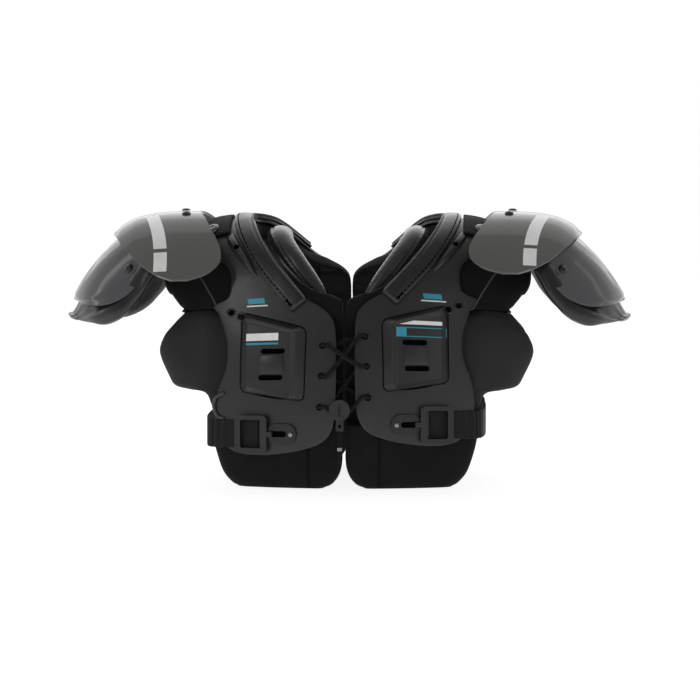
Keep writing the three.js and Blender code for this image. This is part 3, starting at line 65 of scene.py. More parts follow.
CUP_REACH = 264.5
CUP_HALF_LENGTH = 88
CUP_WALL = 3
CUP_BEND = 2.4
CUP_PAD_THICKNESS = 15
CUP_PAD_REACH = 274
CUP_PAD_HALF_LENGTH = 94
STRAP_WIDTH = 26
STRAP_THICKNESS = 2
STRAP_RISE = 0.222
STRAP_SWING = 14
SIDE_REACH = 131
STRAP_FRONT_END = 0.6
STRAP_BACK_END = 0.7
STRAP_LEAVES_ARCH = 0.92
SIDE_PAD_THICKNESS = 20
SIDE_PAD_CROWN = 5
LACE_DIAMETER = 4
LACE_SLACK = 0.7
LACE_BED = 0.215
LACE_BED_DEPTH = 9.2
LACED_FROM = 0.245
LACED_TO = 0.64
LOCK_RADIUS = 9.6
LOCK_THICKNESS = 9
LOCK_TAB_DROP = 14.6
TAIL_LENGTH = 34
TAIL_DIAMETER = 2.6
TAIL_SEAT = 2.5
EYELET_RADIUS = 3
VENT_RADIUS = 2.8
PANEL_SLOT = (23, 5)
PANEL_LOOP = (22, 17, 1.2)
RIVET_RADIUS = 4.2
RIVET_HEIGHT = 2.2
WEB_RIVET_RADIUS = 6.4
HOOK_RIVET_RADIUS = 2.4
ORIGIN_SETBACK = 1.906

# Relief of the panel and the rib, in millimetres, which is stronger here than in the part's source
PANEL_RELIEF = 7.5
RIB_RELIEF = 4.4

# Finer details, in millimetres
PANEL_RIM = 0.9
PANEL_SINK = 0.4
RIB_SINK = 0.3
# Radius of the dark tube of painted shade round the panel's foot
PANEL_SHADE_LINE_RADIUS = 0.75
SEAM_RADIUS = 1.5
COLLAR_PIPING_RADIUS = 1.1
ARM_PIPING_RADIUS = 1.0
STITCH_RADIUS = 0.6
KNOT_TURN_RADIUS = 3
EDGE_LOOP_RADIUS = 1.7
EYELET_RING = (EYELET_RADIUS + 0.5, 0.55)
VENT_RING = (VENT_RADIUS + 1.0, 0.9)
HOLE_REACH = 12
PRESS_OF_CUP = 3.2
PAINT_OFF = (0.14, -0.1)

# Finer details, as shares
PANEL_BEVEL = 0.1
PANEL_CORNER = 0.17
PANEL_VENT_DEPTH = 0.013
CUP_PAD_TIP = 0.93
STRAP_ON_ARCH = 0.3
QUILT_CHANNELS = 15

# Widths of the rounded edges, in metres
PLATE_ROUNDING = 0.0007
EPAULET_ROUNDING = 0.0008
WEB_ROUNDING = 0.0006
CUP_ROUNDING = 0.0006
STRAP_ROUNDING = 0.0004
FASTENING_ROUNDING = 0.00045

# Angle that leaves no edge of a mesh sharp, in degrees
ALL_SMOOTH = 180

# Camera of the photograph
CAMERA_TARGET = (0.00144, -0.0019, 0.120)
CAMERA_AZIMUTH = 2.3
CAMERA_ELEVATION = 4
CAMERA_DISTANCE = 2.2
CAMERA_SENSOR = 36
CAMERA_LENS = 117.9

# Floor and backdrop, in metres
STAGE_FRONT = -6.0
STAGE_BEND_AT = 2.8
STAGE_BEND = 0.8
STAGE_TOP = 4.5
STAGE_HALF_WIDTH = 5
STAGE_DROP = 0.0004

# Name, place and height aimed at in metres, width and length in metres, and watts of each light
LIGHTS = [
    ("top box", (0, 0.7, 1.6), 0.1, (2.6, 0.8), 4.6),
    ("back box", (0, 1.7, 1.2), 0.15, (3.2, 1.2), 12),
    ("left box", (-1.9, 0.35, 0.9), 0.12, (0.2, 1.4), 2.4),
    ("right box", (1.9, 0.5, 0.9), 0.12, (0.2, 1.4), 0.8),
    ("left strip", (-1.3, -1.7, 1.3), 0.12, (0.16, 1.2), 4.8),
    ("right strip", (1.1, -1.9, 0.9), 0.12, (0.12, 1.2), 1.1),
]

# Strength of the room's light, from in front of the pads to behind them
ROOM_LIGHT = {"From Min": -0.4, "From Max": 0.6, "To Min": 0.22, "To Max": 0.75}


def table(names, *rows):
    """Short table with named columns."""
    return {name: np.array([row[i] for row in rows], float) for i, name in enumerate(names.split())}


# The two halves: the hard parts of the right half sit a little higher on the chest
SIDES = [
    {"name": "left", "sign": -1, "lift": -4.5, "spread": -0.012, "cap_drop": 2},
    {"name": "right", "sign": 1, "lift": 4.5, "spread": 0.012, "cap_drop": -5},
]

# Outlines: rise is a share of ARCH_HEIGHT, and out, inner and outer are shares of BODY_HALF_WIDTH
PLATE_FRONT = table(
    "rise inner outer",
    (0.143, 0.56, 0.68),
    (0.151, 0.44, 0.76),
    (0.164, 0.31, 0.81),
    (0.185, 0.195, 0.855),
    (0.21, 0.13, 0.88),
    (0.25, 0.09, 0.905),
    (0.306, 0.074, 0.915),
    (0.39, 0.068, 0.893),
    (0.48, 0.066, 0.836),
    (0.57, 0.067, 0.832),
    (0.64, 0.086, 0.868),
    (0.682, 0.151, 0.898),
    (0.712, 0.248, 0.937),
    (0.728, 0.29, 0.87),
    (0.745, 0.318, 0.825),
    (0.785, 0.372, 0.81),
    (0.83, 0.44, 0.82),
    (0.87, 0.5, 0.87),
    (0.92, 0.575, 1.03),
    (0.96, 0.63, 1.12),
    (1.0, 0.685, 1.16),
)
PLATE_BACK = table(
    "rise inner outer",
    (0.145, 0.3, 0.7),
    (0.17, 0.17, 0.83),
    (0.22, 0.09, 0.9),
    (0.32, 0.07, 0.912),
    (0.48, 0.066, 0.84),
    (0.6, 0.066, 0.84),
    (0.7, 0.07, 0.9),
    (0.75, 0.08, 0.89),
    (0.79, 0.11, 0.84),
    (0.83, 0.18, 0.83),
    (0.865, 0.27, 0.87),
    (0.9, 0.345, 0.97),
    (0.94, 0.425, 1.08),
    (0.975, 0.51, 1.14),
    (0.992, 0.575, 1.155),
)
# The liners' inner edges lie nearer to the middle at the front's foot and the back's top than in the source
LINER_FRONT = table(
    "rise inner outer fill",
    (0.0, 0.15, 0.78, 0.6),
    (0.016, 0.085, 0.83, 0.85),
    (0.05, 0.036, 0.885, 1),
    (0.1, 0.012, 0.925, 1),
    (0.17, 0.012, 0.96, 1),
    (0.222, 0.012, 0.96, 1),
    (0.248, 0.012, 0.8, 1),
    (0.36, 0.012, 0.77, 1),
    (0.52, 0.012, 0.765, 1),
    (0.683, 0.015, 0.78, 1),
    (0.698, 0.016, 1.18, 1),
    (0.715, 0.03, 1.2, 1),
    (0.73, 0.09, 1.225, 1),
    (0.742, 0.19, 1.24, 1),
    (0.783, 0.315, 1.285, 1),
    (0.84, 0.425, 1.335, 1),
    (0.9, 0.53, 1.35, 1),
    (0.96, 0.62, 1.345, 1),
    (1.0, 0.675, 1.33, 1),
)
LINER_BACK = table(
    "rise inner outer fill",
    (0.0, 0.17, 0.78, 0.6),
    (0.016, 0.11, 0.83, 0.85),
    (0.06, 0.05, 0.89, 1),
    (0.17, 0.014, 0.96, 1),
    (0.222, 0.014, 0.96, 1),
    (0.248, 0.014, 0.8, 1),
    (0.36, 0.014, 0.77, 1),
    (0.52, 0.014, 0.765, 1),
    (0.683, 0.006, 0.78, 1),
    (0.698, 0.005, 1.18, 1),
    (0.755, 0.006, 1.25, 1),
    (0.795, 0.02, 1.29, 1),
    (0.825, 0.075, 1.32, 1),
    (0.85, 0.17, 1.335, 1),
    (0.88, 0.3, 1.345, 1),
    (0.92, 0.4, 1.35, 1),
    (0.96, 0.475, 1.345, 1),
    (0.985, 0.55, 1.34, 1),
)
# The side pads' last row lies higher than in the source
SIDE_PAD = table(
    "rise inner outer free fill",
    (0.265, 0.868, 0.945, 0.94, 0.35),
    (0.31, 0.818, 0.98, 0.935, 0.55),
    (0.36, 0.783, 1.015, 0.925, 0.8),
    (0.374, 0.783, 1.13, 0.92, 0.9),
    (0.39, 0.783, 1.235, 0.91, 0.95),
    (0.43, 0.778, 1.285, 0.885, 1),
    (0.53, 0.778, 1.358, 0.855, 1),
    (0.6, 0.778, 1.325, 0.865, 1),
    (0.645, 0.788, 1.26, 0.89, 0.85),
    (0.698, 0.818, 1.17, 0.92, 0.5),
)
COLLAR_FRONT = table(
    "rise out",
    (0.695, 0.315),
    (0.76, 0.425),
    (0.83, 0.54),
    (0.89, 0.625),
    (0.945, 0.695),
    (0.985, 0.742),
    (1.0, 0.757),
)
COLLAR_BACK = table(
    "rise out",
    (0.868, 0.35),
    (0.9, 0.415),
    (0.935, 0.485),
    (0.965, 0.55),
    (0.985, 0.61),
    (0.996, 0.68),
)
ROLL_FRONT = table(
    "rise out half sink fill",
    (0.745, 0.165, 0.035, 1.3, 0.45),
    (0.775, 0.21, 0.058, 1.28, 0.7),
    (0.83, 0.29, 0.078, 1.15, 0.9),
    (0.89, 0.375, 0.088, 0.98, 1),
    (0.95, 0.45, 0.092, 0.84, 1),
    (0.99, 0.495, 0.092, 0.74, 1),
)
ROLL_BACK = table(
    "rise out half sink fill",
    (0.985, 0.5, 0.05, 0.85, 0.5),
    (0.996, 0.502, 0.085, 0.76, 0.85),
)
RIB = table(
    "rise out half",
    (0.812, 0.627, 0.008),
    (0.84, 0.67, 0.022),
    (0.875, 0.722, 0.03),
    (0.914, 0.78, 0.034),
    (0.945, 0.82, 0.034),
    (0.965, 0.84, 0.025),
)
EPAULET = table(
    "along inner outer",
    (0.0, 0.634, 1.0),
    (0.2, 0.626, 0.998),
    (0.4, 0.6, 0.987),
    (0.6, 0.565, 0.955),
    (0.72, 0.534, 0.923),
    (0.83, 0.514, 0.88),
    (0.9, 0.524, 0.84),
    (0.965, 0.575, 0.778),
    (1.0, 0.65, 0.715),
)
EPAULET_RIDGE = table(
    "out up",
    (0.5, 1.0),
    (0.7, 1.001),
    (0.82, 0.995),
    (0.9, 0.98),
    (0.96, 0.955),
    (1.0, 0.925),
)
CUP = table(
    "out up half hemOut hemUp",
    (0.718, 0.958, 0.95, 0.665, 0.83),
    (0.782, 0.938, 0.99, 0.688, 0.785),
    (0.842, 0.889, 1.0, 0.718, 0.745),
    (0.867, 0.864, 1.0, 0.75, 0.714),
    (0.893, 0.837, 0.98, 0.79, 0.686),
    (0.922, 0.801, 0.92, 0.842, 0.665),
    (0.956, 0.752, 0.78, 0.895, 0.656),
    (0.982, 0.708, 0.55, 0.942, 0.658),
    (1.0, 0.672, 0.25, 0.98, 0.662),
)
CUP_PAD = table(
    "out up half hemOut hemUp fill",
    (0.683, 0.941, 0.93, 0.645, 0.83, 0.7),
    (0.75, 0.919, 0.97, 0.657, 0.79, 1),
    (0.804, 0.877, 1.0, 0.68, 0.742, 1),
    (0.828, 0.85, 1.0, 0.7, 0.705, 1),
    (0.852, 0.822, 0.98, 0.727, 0.67, 1),
    (0.879, 0.789, 0.95, 0.757, 0.635, 1),
    (0.913, 0.739, 0.88, 0.797, 0.605, 1),
    (0.939, 0.696, 0.75, 0.85, 0.585, 1),
    (0.965, 0.648, 0.58, 0.893, 0.583, 0.9),
    (0.99, 0.617, 0.38, 0.941, 0.585, 0.7),
    (1.0, 0.602, 0.22, 0.98, 0.594, 0.45),
)
PANEL_BASE = {
    "foot_inner": (0.347, 0.28),
    "foot_outer": (0.383, 0.735),
    "top_inner": (0.615, 0.265),
    "top_outer": (0.682, 0.728),
}
PANEL_TOP = {
    "foot_inner": (0.352, 0.345),
    "foot_outer": (0.386, 0.7),
    "top_inner": (0.604, 0.33),
    "top_outer": (0.657, 0.695),
}
PANEL_SLOTS = [(0.53, 0.487), (0.434, 0.503)]
PANEL_VENT = (0.13, 0.85)
# Rise and out of the dark patch of painted shade under the hook plate's slot
SLOT_SHADE = ((0.203, 0.238), (0.4, 0.56))
EDGE_LOOP = table(
    "rise out off",
    (0.36, 0.85, 1.8),
    (0.345, 0.9, 3.2),
    (0.318, 0.925, 2.6),
    (0.29, 0.915, 2.2),
    (0.268, 0.89, 2.6),
    (0.262, 0.85, 2.0),
)
EYELETS = [(0.551, 0.15), (0.441, 0.16), (0.325, 0.17)]
VENTS = [(0.684, 0.805), (0.666, 0.73), (0.914, 0.779)]
WEB_START = 0.842
WEB_LEAVES_ARCH = 1.0
WEB_MEETS_EPAULET = 1.13
WEB_END = 1.58
LOCK_SPOT = (0.296, 0.025)

# Line of the piping along the arm hole
ARM_PIPING = table("rise out", (0.86, 1.085), (0.814, 1.035), (0.759, 0.979), (0.704, 0.924), (0.69, 0.9))

# Stripe lengths along the epaulet, from its front end at -1
EPAULET_STRIPES = ((-0.95, -0.82), (-0.79, -0.3))

# Half section of a rivet's head: reach from its axis and height above its foot
RIVET_PROFILE = ((0.999, 0.0), (1.0, 0.2), (0.94, 0.45), (0.8, 0.72), (0.55, 0.93), (0.34, 1.0), (0.26, 0.8))
RIVET_SIDES = 32


# Shapes shared with the part's source


def mix(a, b, share):
    return a + (b - a) * share


def smooth(x):
    """Eases from 0 to 1."""
    x = np.clip(x, 0, 1)
    return x * x * (3 - 2 * x)


def column(rows, name, r):
    """One column on a smooth curve through its rows, with r from 0 at the first row to 1 at the last."""
    values = rows[name]
    last = len(values) - 1
    place = np.clip(np.asarray(r, float), 0, 1) * last
    i = np.minimum(np.floor(place).astype(int), last - 1)
    f = place - i
    a, b, c, d = (values[np.clip(i + k, 0, last)] for k in (-1, 0, 1, 2))
    return b + 0.5 * f * (c - a + f * (2 * a - 5 * b + 4 * c - d + f * (3 * (b - c) + d - a)))


def turn_of(rise, is_back=False):
    turn = np.arcsin(np.clip(rise, 0, 1) ** (ARCH_SQUARENESS / 2))
    return math.pi - turn if is_back else turn


def lifted(rise, lift):
    return rise + (lift / ARCH_HEIGHT) * (1 - np.asarray(rise, float) ** 4)


def over_the_shoulder(front, back, lift):
    """Rows from the front foot over the crest to the back foot, each with its angle."""
    rows = {name: np.concatenate([front[name], back[name][::-1]]) for name in front}
    chest = turn_of(lifted(front["rise"], lift))
    spine = turn_of(back["rise"], True)
    rows["turn"] = np.concatenate([chest, spine[::-1]])
    return rows


def on_chest(rows, lift):
    return {**rows, "turn": turn_of(lifted(rows["rise"], lift))}


def arch_face(turn, out):
    """Points of the arch's mid face. out is the distance from the middle plane."""
    turn, out = np.broadcast_arrays(np.asarray(turn, float), np.asarray(out, float))
    power = 2 / ARCH_SQUARENESS
    across = np.cos(turn)
    upward = np.maximum(np.sin(turn), 0)
    depth = np.where(across > 0, FRONT_DEPTH, BACK_DEPTH)
    forward = -np.sign(across)
    ny = forward * np.abs(across) ** (2 - power) / depth
    nz = upward ** (2 - power) / ARCH_HEIGHT
    length = np.hypot(ny, nz)
    share = out / BODY_HALF_WIDTH
    fall = np.maximum((share - 0.8) / 0.36, 0) ** 2
    inward = WRAP_DEPTH * share**2 * np.abs(across) + SHOULDER_FALL * np.minimum(fall, 2) * upward**4
    y = forward * depth * np.abs(across) ** power - ny / length * inward
    z = ARCH_HEIGHT * upward**power - nz / length * inward
    return np.stack([out, y, z], axis=-1)


def unit(v):
    return v / np.maximum(np.linalg.norm(v, axis=-1, keepdims=True), 1e-9)


def normal_of(face, r, c, inside):
    """Outward unit normal of a face given as a function of two places."""
    e = 0.002
    normal = unit(np.cross(face(r + e, c) - face(r - e, c), face(r, c + e) - face(r, c - e)))
    away = np.sum(normal * (face(r, c) - np.array(inside)), axis=-1, keepdims=True)
    return np.where(away < 0, -normal, normal)


def on_arch(sign, turn, out, off):
    """Points at a distance off the arch's mid face, for one side."""
    turn, out = np.broadcast_arrays(np.asarray(turn, float), np.asarray(out, float))
    normal = normal_of(
        lambda t, o: arch_face(t, o * BODY_HALF_WIDTH), turn, out / BODY_HALF_WIDTH, (0, 0, ARCH_HEIGHT / 3)
    )
    point = arch_face(turn, out) + normal * np.asarray(off, float)[..., None]
    return point * np.array([sign, 1, 1])


def along_strip(sign, rows, r, u, half, off):
    """Points of a strip that runs along a line on the arch, with u from -1 to 1 across it."""

    def line(place):
        return column(rows, "turn", place), column(rows, "out", place) * BODY_HALF_WIDTH

    turn, out = line(r)
    e = 0.01
    run = arch_face(*line(np.minimum(r + e, 1))) - arch_face(*line(np.maximum(r - e, 0)))
    by_turn = (arch_face(turn + e, out) - arch_face(turn - e, out)) / (2 * e)
    by_out = (arch_face(turn, out + 1) - arch_face(turn, out - 1)) / 2
    across = unit(np.cross(np.cross(by_turn, by_out), run)) * (u * half)[..., None]
    turn_shift = np.sum(across * by_turn, axis=-1) / np.sum(by_turn**2, axis=-1)
    out_shift = np.sum(across * by_out, axis=-1) / np.sum(by_out**2, axis=-1)
    return on_arch(sign, turn + turn_shift, out + out_shift, off)


def pillow(c, power, edge):
    return edge + (1 - edge) * np.sqrt(np.maximum(1 - np.abs(2 * c - 1) ** power, 0))


def height_at(rows, out):
    i = np.clip(np.searchsorted(rows["out"], out) - 1, 0, len(rows["out"]) - 2)
    f = np.clip((out - rows["out"][i]) / (rows["out"][i + 1] - rows["out"][i]), 0, 1)
    return column(rows, "up", (i + f) / (len(rows["out"]) - 1))


def under_epaulet(side, along, out, depth):
    """Points at a depth below the outer face of the epaulet."""
    along, out = np.broadcast_arrays(np.asarray(along, float), np.asarray(out, float))
    drop = EPAULET_DROP + np.where(along < 0, side["cap_drop"], 0)

    def face(a, o):
        z = SHOULDER_HEIGHT * height_at(EPAULET_RIDGE, o) - drop * np.abs(a) ** EPAULET_BEND
        return np.stack([side["sign"] * o * EPAULET_REACH, a * EPAULET_HALF_LENGTH, z], axis=-1)

    share = out / EPAULET_REACH
    inside = (side["sign"] * EPAULET_REACH * 0.7, 0, SHOULDER_HEIGHT - 2 * EPAULET_DROP)
    return face(along, share) - normal_of(face, along, share, inside) * np.asarray(depth, float)[..., None]


def under_dome(sign, rows, reach, half, r, c, depth):
    """Points at a depth below the outer face of the cup or of its pad. c runs from front hem to back hem."""

    def face(a, b):
        v = 2 * b - 1
        bend = np.abs(v) ** CUP_BEND
        out = mix(column(rows, "out", a), column(rows, "hemOut", a), bend) * reach
        along = v * column(rows, "half", a) * half
        up = mix(column(rows, "up", a), column(rows, "hemUp", a), bend) * SHOULDER_HEIGHT
        return np.stack([sign * out, along, up], axis=-1)

    r, c = np.broadcast_arrays(np.asarray(r, float), np.asarray(c, float))
    inside = (sign * reach * 0.6, 0, SHOULDER_HEIGHT / 2)
    normal = normal_of(face, np.clip(r, 0.004, 0.996), np.clip(c, 0.004, 0.996), inside)
    return face(r, c) - normal * np.asarray(depth, float)[..., None]


# Meshes


def metres(points):
    """Millimetres of the tables to metres of the frame, whose origin lies below the middle of the pads."""
    return (np.asarray(points, float) - np.array([0, ORIGIN_SETBACK, 0])) / 1000


def add_mesh(name, verts, faces, smooth_angle=40):
    mesh = bpy.data.meshes.new(name)
    mesh.from_pydata([tuple(v) for v in verts], [], [tuple(f) for f in faces])
    mesh.validate()
    tidy = bmesh.new()
    tidy.from_mesh(mesh)
    bmesh.ops.recalc_face_normals(tidy, faces=tidy.faces)
    tidy.to_mesh(mesh)
    tidy.free()
    mesh.polygons.foreach_set("use_smooth", [True] * len(mesh.polygons))
    if smooth_angle < ALL_SMOOTH:
        mesh.set_sharp_from_angle(angle=math.radians(smooth_angle))
    piece = bpy.data.objects.new(name, mesh)
    bpy.context.scene.collection.objects.link(piece)
    return piece


def slab_data(outer, inner):
    """Vertices and faces of the closed solid between two grids of points in millimetres."""
    height, width = outer.shape[:2]
    verts = metres(np.concatenate([outer.reshape(-1, 3), inner.reshape(-1, 3)]))
    under = height * width
    at = np.arange(under).reshape(height, width)
    a, b, c, d = at[:-1, :-1].ravel(), at[:-1, 1:].ravel(), at[1:, 1:].ravel(), at[1:, :-1].ravel()
    faces = [np.stack([a, b, c, d], 1), np.stack([under + a, under + d, under + c, under + b], 1)]
    for edge in (at[:, 0], at[-1, :], at[::-1, -1], at[0, ::-1]):
        faces.append(np.stack([edge[:-1], edge[1:], under + edge[1:], under + edge[:-1]], 1))
    return verts, np.concatenate(faces)


def add_slab(name, outer, inner, smooth_angle=40, round_edge=0.0):
    piece = add_mesh(name, *slab_data(outer, inner), smooth_angle)
    if round_edge:
        bevel(piece, round_edge)
    return piece


def bevel(piece, width, segments=3, angle=50):
    rounding = piece.modifiers.new("rounded edges", "BEVEL")
    rounding.width = width
    rounding.segments = segments
    rounding.limit_method = "ANGLE"
    rounding.angle_limit = math.radians(angle)
    rounding.harden_normals = False


def applied(piece):
    """The same object with its modifiers applied."""
    graph = bpy.context.evaluated_depsgraph_get()
    graph.update()
    mesh = bpy.data.meshes.new_from_object(piece.evaluated_get(graph))
    piece.modifiers.clear()
    piece.data = mesh
    return piece


def cut(piece, cutters):
    """Cuts closed bodies out of a piece."""
    graph = bpy.context.evaluated_depsgraph_get()
    for cutter in cutters:
        hole = piece.modifiers.new("hole", "BOOLEAN")
        hole.operation = "DIFFERENCE"
        hole.solver = "EXACT"
        hole.object = cutter
    graph.update()
    applied(piece)


def joined(name, parts):
    """One object of several."""
    made = bmesh.new()
    for part in parts:
        made.from_mesh(part.data)
    mesh = bpy.data.meshes.new(name)
    made.to_mesh(mesh)
    made.free()
    mesh.polygons.foreach_set("use_smooth", [True] * len(mesh.polygons))
    mesh.set_sharp_from_angle(angle=math.radians(38))
    for part in parts:
        bpy.data.objects.remove(part)
    piece = bpy.data.objects.new(name, mesh)
    bpy.context.scene.collection.objects.link(piece)
    return piece


def grid(rows_count, cols_count):
    """Places from 0 to 1 down the rows and across the columns."""
    return np.meshgrid(np.linspace(0, 1, rows_count), np.linspace(0, 1, cols_count), indexing="ij")


def row_places(rows, per_row):
    """Places down a table, with a few between each two of its rows."""
    return np.linspace(0, 1, (len(next(iter(rows.values()))) - 1) * per_row + 1)


def rounded_places(count, edge=0.02):
    """Places across a soft piece, closer together at its edges."""
    inside = 0.5 - 0.5 * np.cos(np.linspace(0, math.pi, count))
    return np.unique(np.concatenate([[0, 1], inside, [edge, 1 - edge]]))


def tube_data(points, radius, sides=12, ripple=None):
    """Closed tube along points in millimetres. ripple(i, k) scales its radius."""
    points = np.asarray(points, float)
    run = unit(np.gradient(points, axis=0))
    across = unit(np.cross(run[0], [0.03, 0.02, 1.0]))
    rings = []
    for i, point in enumerate(points):
        across = unit(across - run[i] * np.dot(across, run[i]))
        other = np.cross(run[i], across)
        for k in range(sides):
            angle = 2 * math.pi * k / sides
            size = radius * (ripple(i, k) if ripple else 1)
            rings.append(point + size * (across * math.cos(angle) + other * math.sin(angle)))
    faces = []
    for i in range(len(points) - 1):
        for k in range(sides):
            a, b = i * sides + k, i * sides + (k + 1) % sides
            faces.append((a, b, b + sides, a + sides))
    faces.append(tuple(range(sides)))
    faces.append(tuple(range((len(points) - 1) * sides, len(points) * sides))[::-1])
    return metres(rings), faces


def add_tube(name, points, radius, sides=12, ripple=None):
    return add_mesh(name, *tube_data(points, radius, sides, ripple), ALL_SMOOTH)


def through(points, per_span=6):
    """Smooth line through points."""
    rows = {axis: np.asarray(points, float)[:, i] for i, axis in enumerate("xyz")}
    r = np.linspace(0, 1, (len(points) - 1) * per_span + 1)
    return np.stack([column(rows, axis, r) for axis in "xyz"], axis=-1)


def evenly(points, step):
    """Points along a line at equal distances."""
    points = np.asarray(points, float)
    lengths = np.concatenate([[0], np.cumsum(np.linalg.norm(np.diff(points, axis=0), axis=1))])
    count = max(int(round(lengths[-1] / step)), 2)
    places = np.linspace(0, lengths[-1], count + 1)
    return np.stack([np.interp(places, lengths, points[:, i]) for i in range(3)], axis=-1)


def seat_on_arch(sign, turn, out, off=0.0):
    """Place on the arch, and its directions to the right, up and off the face."""
    origin = on_arch(sign, turn, out, off)
    outward = unit(on_arch(sign, turn, out + 1, off) - on_arch(sign, turn, out - 1, off))
    away = unit(on_arch(sign, turn, out, off + 1) - origin)
    up = unit(np.cross(away, outward))
    if up[2] < 0:
        up = -up
    right = np.cross(up, away)
    return origin, right, up, away


def chest_seat(side, spot, off=0.0):
    rise, out = spot
    return seat_on_arch(side["sign"], turn_of(lifted(rise, side["lift"])), out * BODY_HALF_WIDTH, off)


def seated(seat, points):
    """Points given as right, up and off a seat, in millimetres."""
    origin, right, up, away = seat
    points = np.asarray(points, float)
    return origin + points[..., :1] * right + points[..., 1:2] * up + points[..., 2:3] * away


def round_outline(length, height, segments=8):
    """Outline with round ends, or a circle when it is no longer than high."""
    radius = height / 2
    reach = max(length / 2 - radius, 0)
    ends = []
    for side, start in ((1, -math.pi / 2), (-1, math.pi / 2)):
        for k in range(segments + 1):
            angle = start + math.pi * k / segments
            ends.append((side * reach + radius * math.cos(angle), radius * math.sin(angle)))
    return ends


def prism_data(outline, seat, low, high):
    count = len(outline)
    points = [(x, y, z) for z in (low, high) for x, y in outline]
    faces = [(k, (k + 1) % count, count + (k + 1) % count, count + k) for k in range(count)]
    faces += [tuple(range(count))[::-1], tuple(range(count, 2 * count))]
    return metres(seated(seat, points)), faces


def ring_data(seat, radius, thickness, lift, sides=24, around=8):
    """Thin ring round a hole."""
    points = []
    for i in range(sides):
        angle = 2 * math.pi * i / sides
        for k in range(around):
            turn = 2 * math.pi * k / around
            reach = radius + thickness * math.cos(turn)
            height = lift + thickness * math.sin(turn)
            points.append((reach * math.cos(angle), reach * math.sin(angle), height))
    faces = []
    for i in range(sides):
        for k in range(around):
            a, b = i * around + k, i * around + (k + 1) % around
            c, d = ((i + 1) % sides) * around + (k + 1) % around, ((i + 1) % sides) * around + k
            faces.append((a, b, c, d))
    return metres(seated(seat, points)), faces


# Materials


class Surface:
    """A Principled material with helpers for its colour, bump and wear."""

    def __init__(self, name, color, roughness, **sockets):
        self.material = bpy.data.materials.new(name)
        self.material.use_nodes = True
        self.nodes = self.material.node_tree.nodes
        self.links = self.material.node_tree.links
        self.shader = self.nodes["Principled BSDF"]
        self.shader.inputs["Base Color"].default_value = (*color, 1)
        self.shader.inputs["Roughness"].default_value = roughness
        for socket, value in sockets.items():
            self.shader.inputs[socket.replace("_", " ")].default_value = value
        self.place = self.nodes.new("ShaderNodeTexCoord").outputs["Object"]
        self.height = None

    def noise(self, scale, detail=3, stretch=None):
        texture = self.nodes.new("ShaderNodeTexNoise")
        texture.inputs["Scale"].default_value = scale
        texture.inputs["Detail"].default_value = detail
        self.links.new(self.stretched(stretch), texture.inputs["Vector"])
        return texture.outputs["Fac"]

    def wave(self, scale, direction, distortion=0.0):
        texture = self.nodes.new("ShaderNodeTexWave")
        texture.bands_direction = direction
        texture.inputs["Scale"].default_value = scale
        texture.inputs["Distortion"].default_value = distortion
        self.links.new(self.place, texture.inputs["Vector"])
        return texture.outputs["Fac"]

    def cells(self, scale):
        texture = self.nodes.new("ShaderNodeTexVoronoi")
        texture.inputs["Scale"].default_value = scale
        self.links.new(self.place, texture.inputs["Vector"])
        return texture.outputs["Distance"]

    def stretched(self, stretch):
        if stretch is None:
            return self.place
        mapping = self.nodes.new("ShaderNodeMapping")
        mapping.inputs["Scale"].default_value = stretch
        self.links.new(self.place, mapping.inputs["Vector"])
        return mapping.outputs["Vector"]

    def product(self, a, b):
        node = self.nodes.new("ShaderNodeMath")
        node.operation = "MULTIPLY"
        self.links.new(a, node.inputs[0])
        self.links.new(b, node.inputs[1])
        return node.outputs[0]

    def ramp(self, value, low, high, dark, light):
        """Goes from the dark to the light colour as value goes from low to high."""
        node = self.nodes.new("ShaderNodeValToRGB")
        node.color_ramp.elements[0].position = low
        node.color_ramp.elements[1].position = high
        node.color_ramp.elements[0].color = (*dark, 1)
        node.color_ramp.elements[1].color = (*light, 1)
        self.links.new(value, node.inputs["Fac"])
        return node.outputs["Color"]

    def colored(self, value, low, high, dark, light):
        self.links.new(self.ramp(value, low, high, dark, light), self.shader.inputs["Base Color"])
        return self

    def roughened(self, value, low, high):
        node = self.nodes.new("ShaderNodeMapRange")
        node.inputs["From Min"].default_value = 0.3
        node.inputs["From Max"].default_value = 0.7
        node.inputs["To Min"].default_value = low
        node.inputs["To Max"].default_value = high
        self.links.new(value, node.inputs["Value"])
        self.links.new(node.outputs["Result"], self.shader.inputs["Roughness"])
        return self

    def bumped(self, value, strength, distance):
        """Adds a bump over those already there."""
        node = self.nodes.new("ShaderNodeBump")
        node.inputs["Strength"].default_value = strength
        node.inputs["Distance"].default_value = distance
        self.links.new(value, node.inputs["Height"])
        if self.height is not None:
            self.links.new(self.height, node.inputs["Normal"])
        self.height = node.outputs["Normal"]
        self.links.new(self.height, self.shader.inputs["Normal"])
        return self


def shaded(color, share):
    """A lighter or darker shade of a colour."""
    return tuple(share * c for c in color)


def moulded_plastic(name, color, roughness, **sockets):
    """Moulded plastic with a fine grain and slight wear."""
    surface = Surface(name, color, roughness, **sockets)
    surface.colored(surface.noise(28, 4), 0.35, 0.7, color, shaded(color, 1.18))
    surface.roughened(surface.noise(60, 5), roughness * 0.85, roughness * 1.2)
    surface.bumped(surface.noise(900, 2), 0.1, 0.00015)
    return surface.bumped(surface.noise(18, 2), 0.12, 0.0012)


def smoked_plastic(name, color, roughness, alpha):
    """Glossy plastic that shows a little of what lies under it where alpha is below 1."""
    gloss = {"Coat_Weight": 0.06, "Coat_Roughness": 0.04, "Specular_IOR_Level": 0.22}
    surface = Surface(name, color, roughness, Alpha=alpha, **gloss)
    surface.colored(surface.noise(9, 3), 0.35, 0.7, color, shaded(color, 1.12))
    surface.roughened(surface.noise(30, 4), roughness * 0.8, roughness * 1.3)
    return surface.bumped(surface.noise(14, 2), 0.06, 0.001)


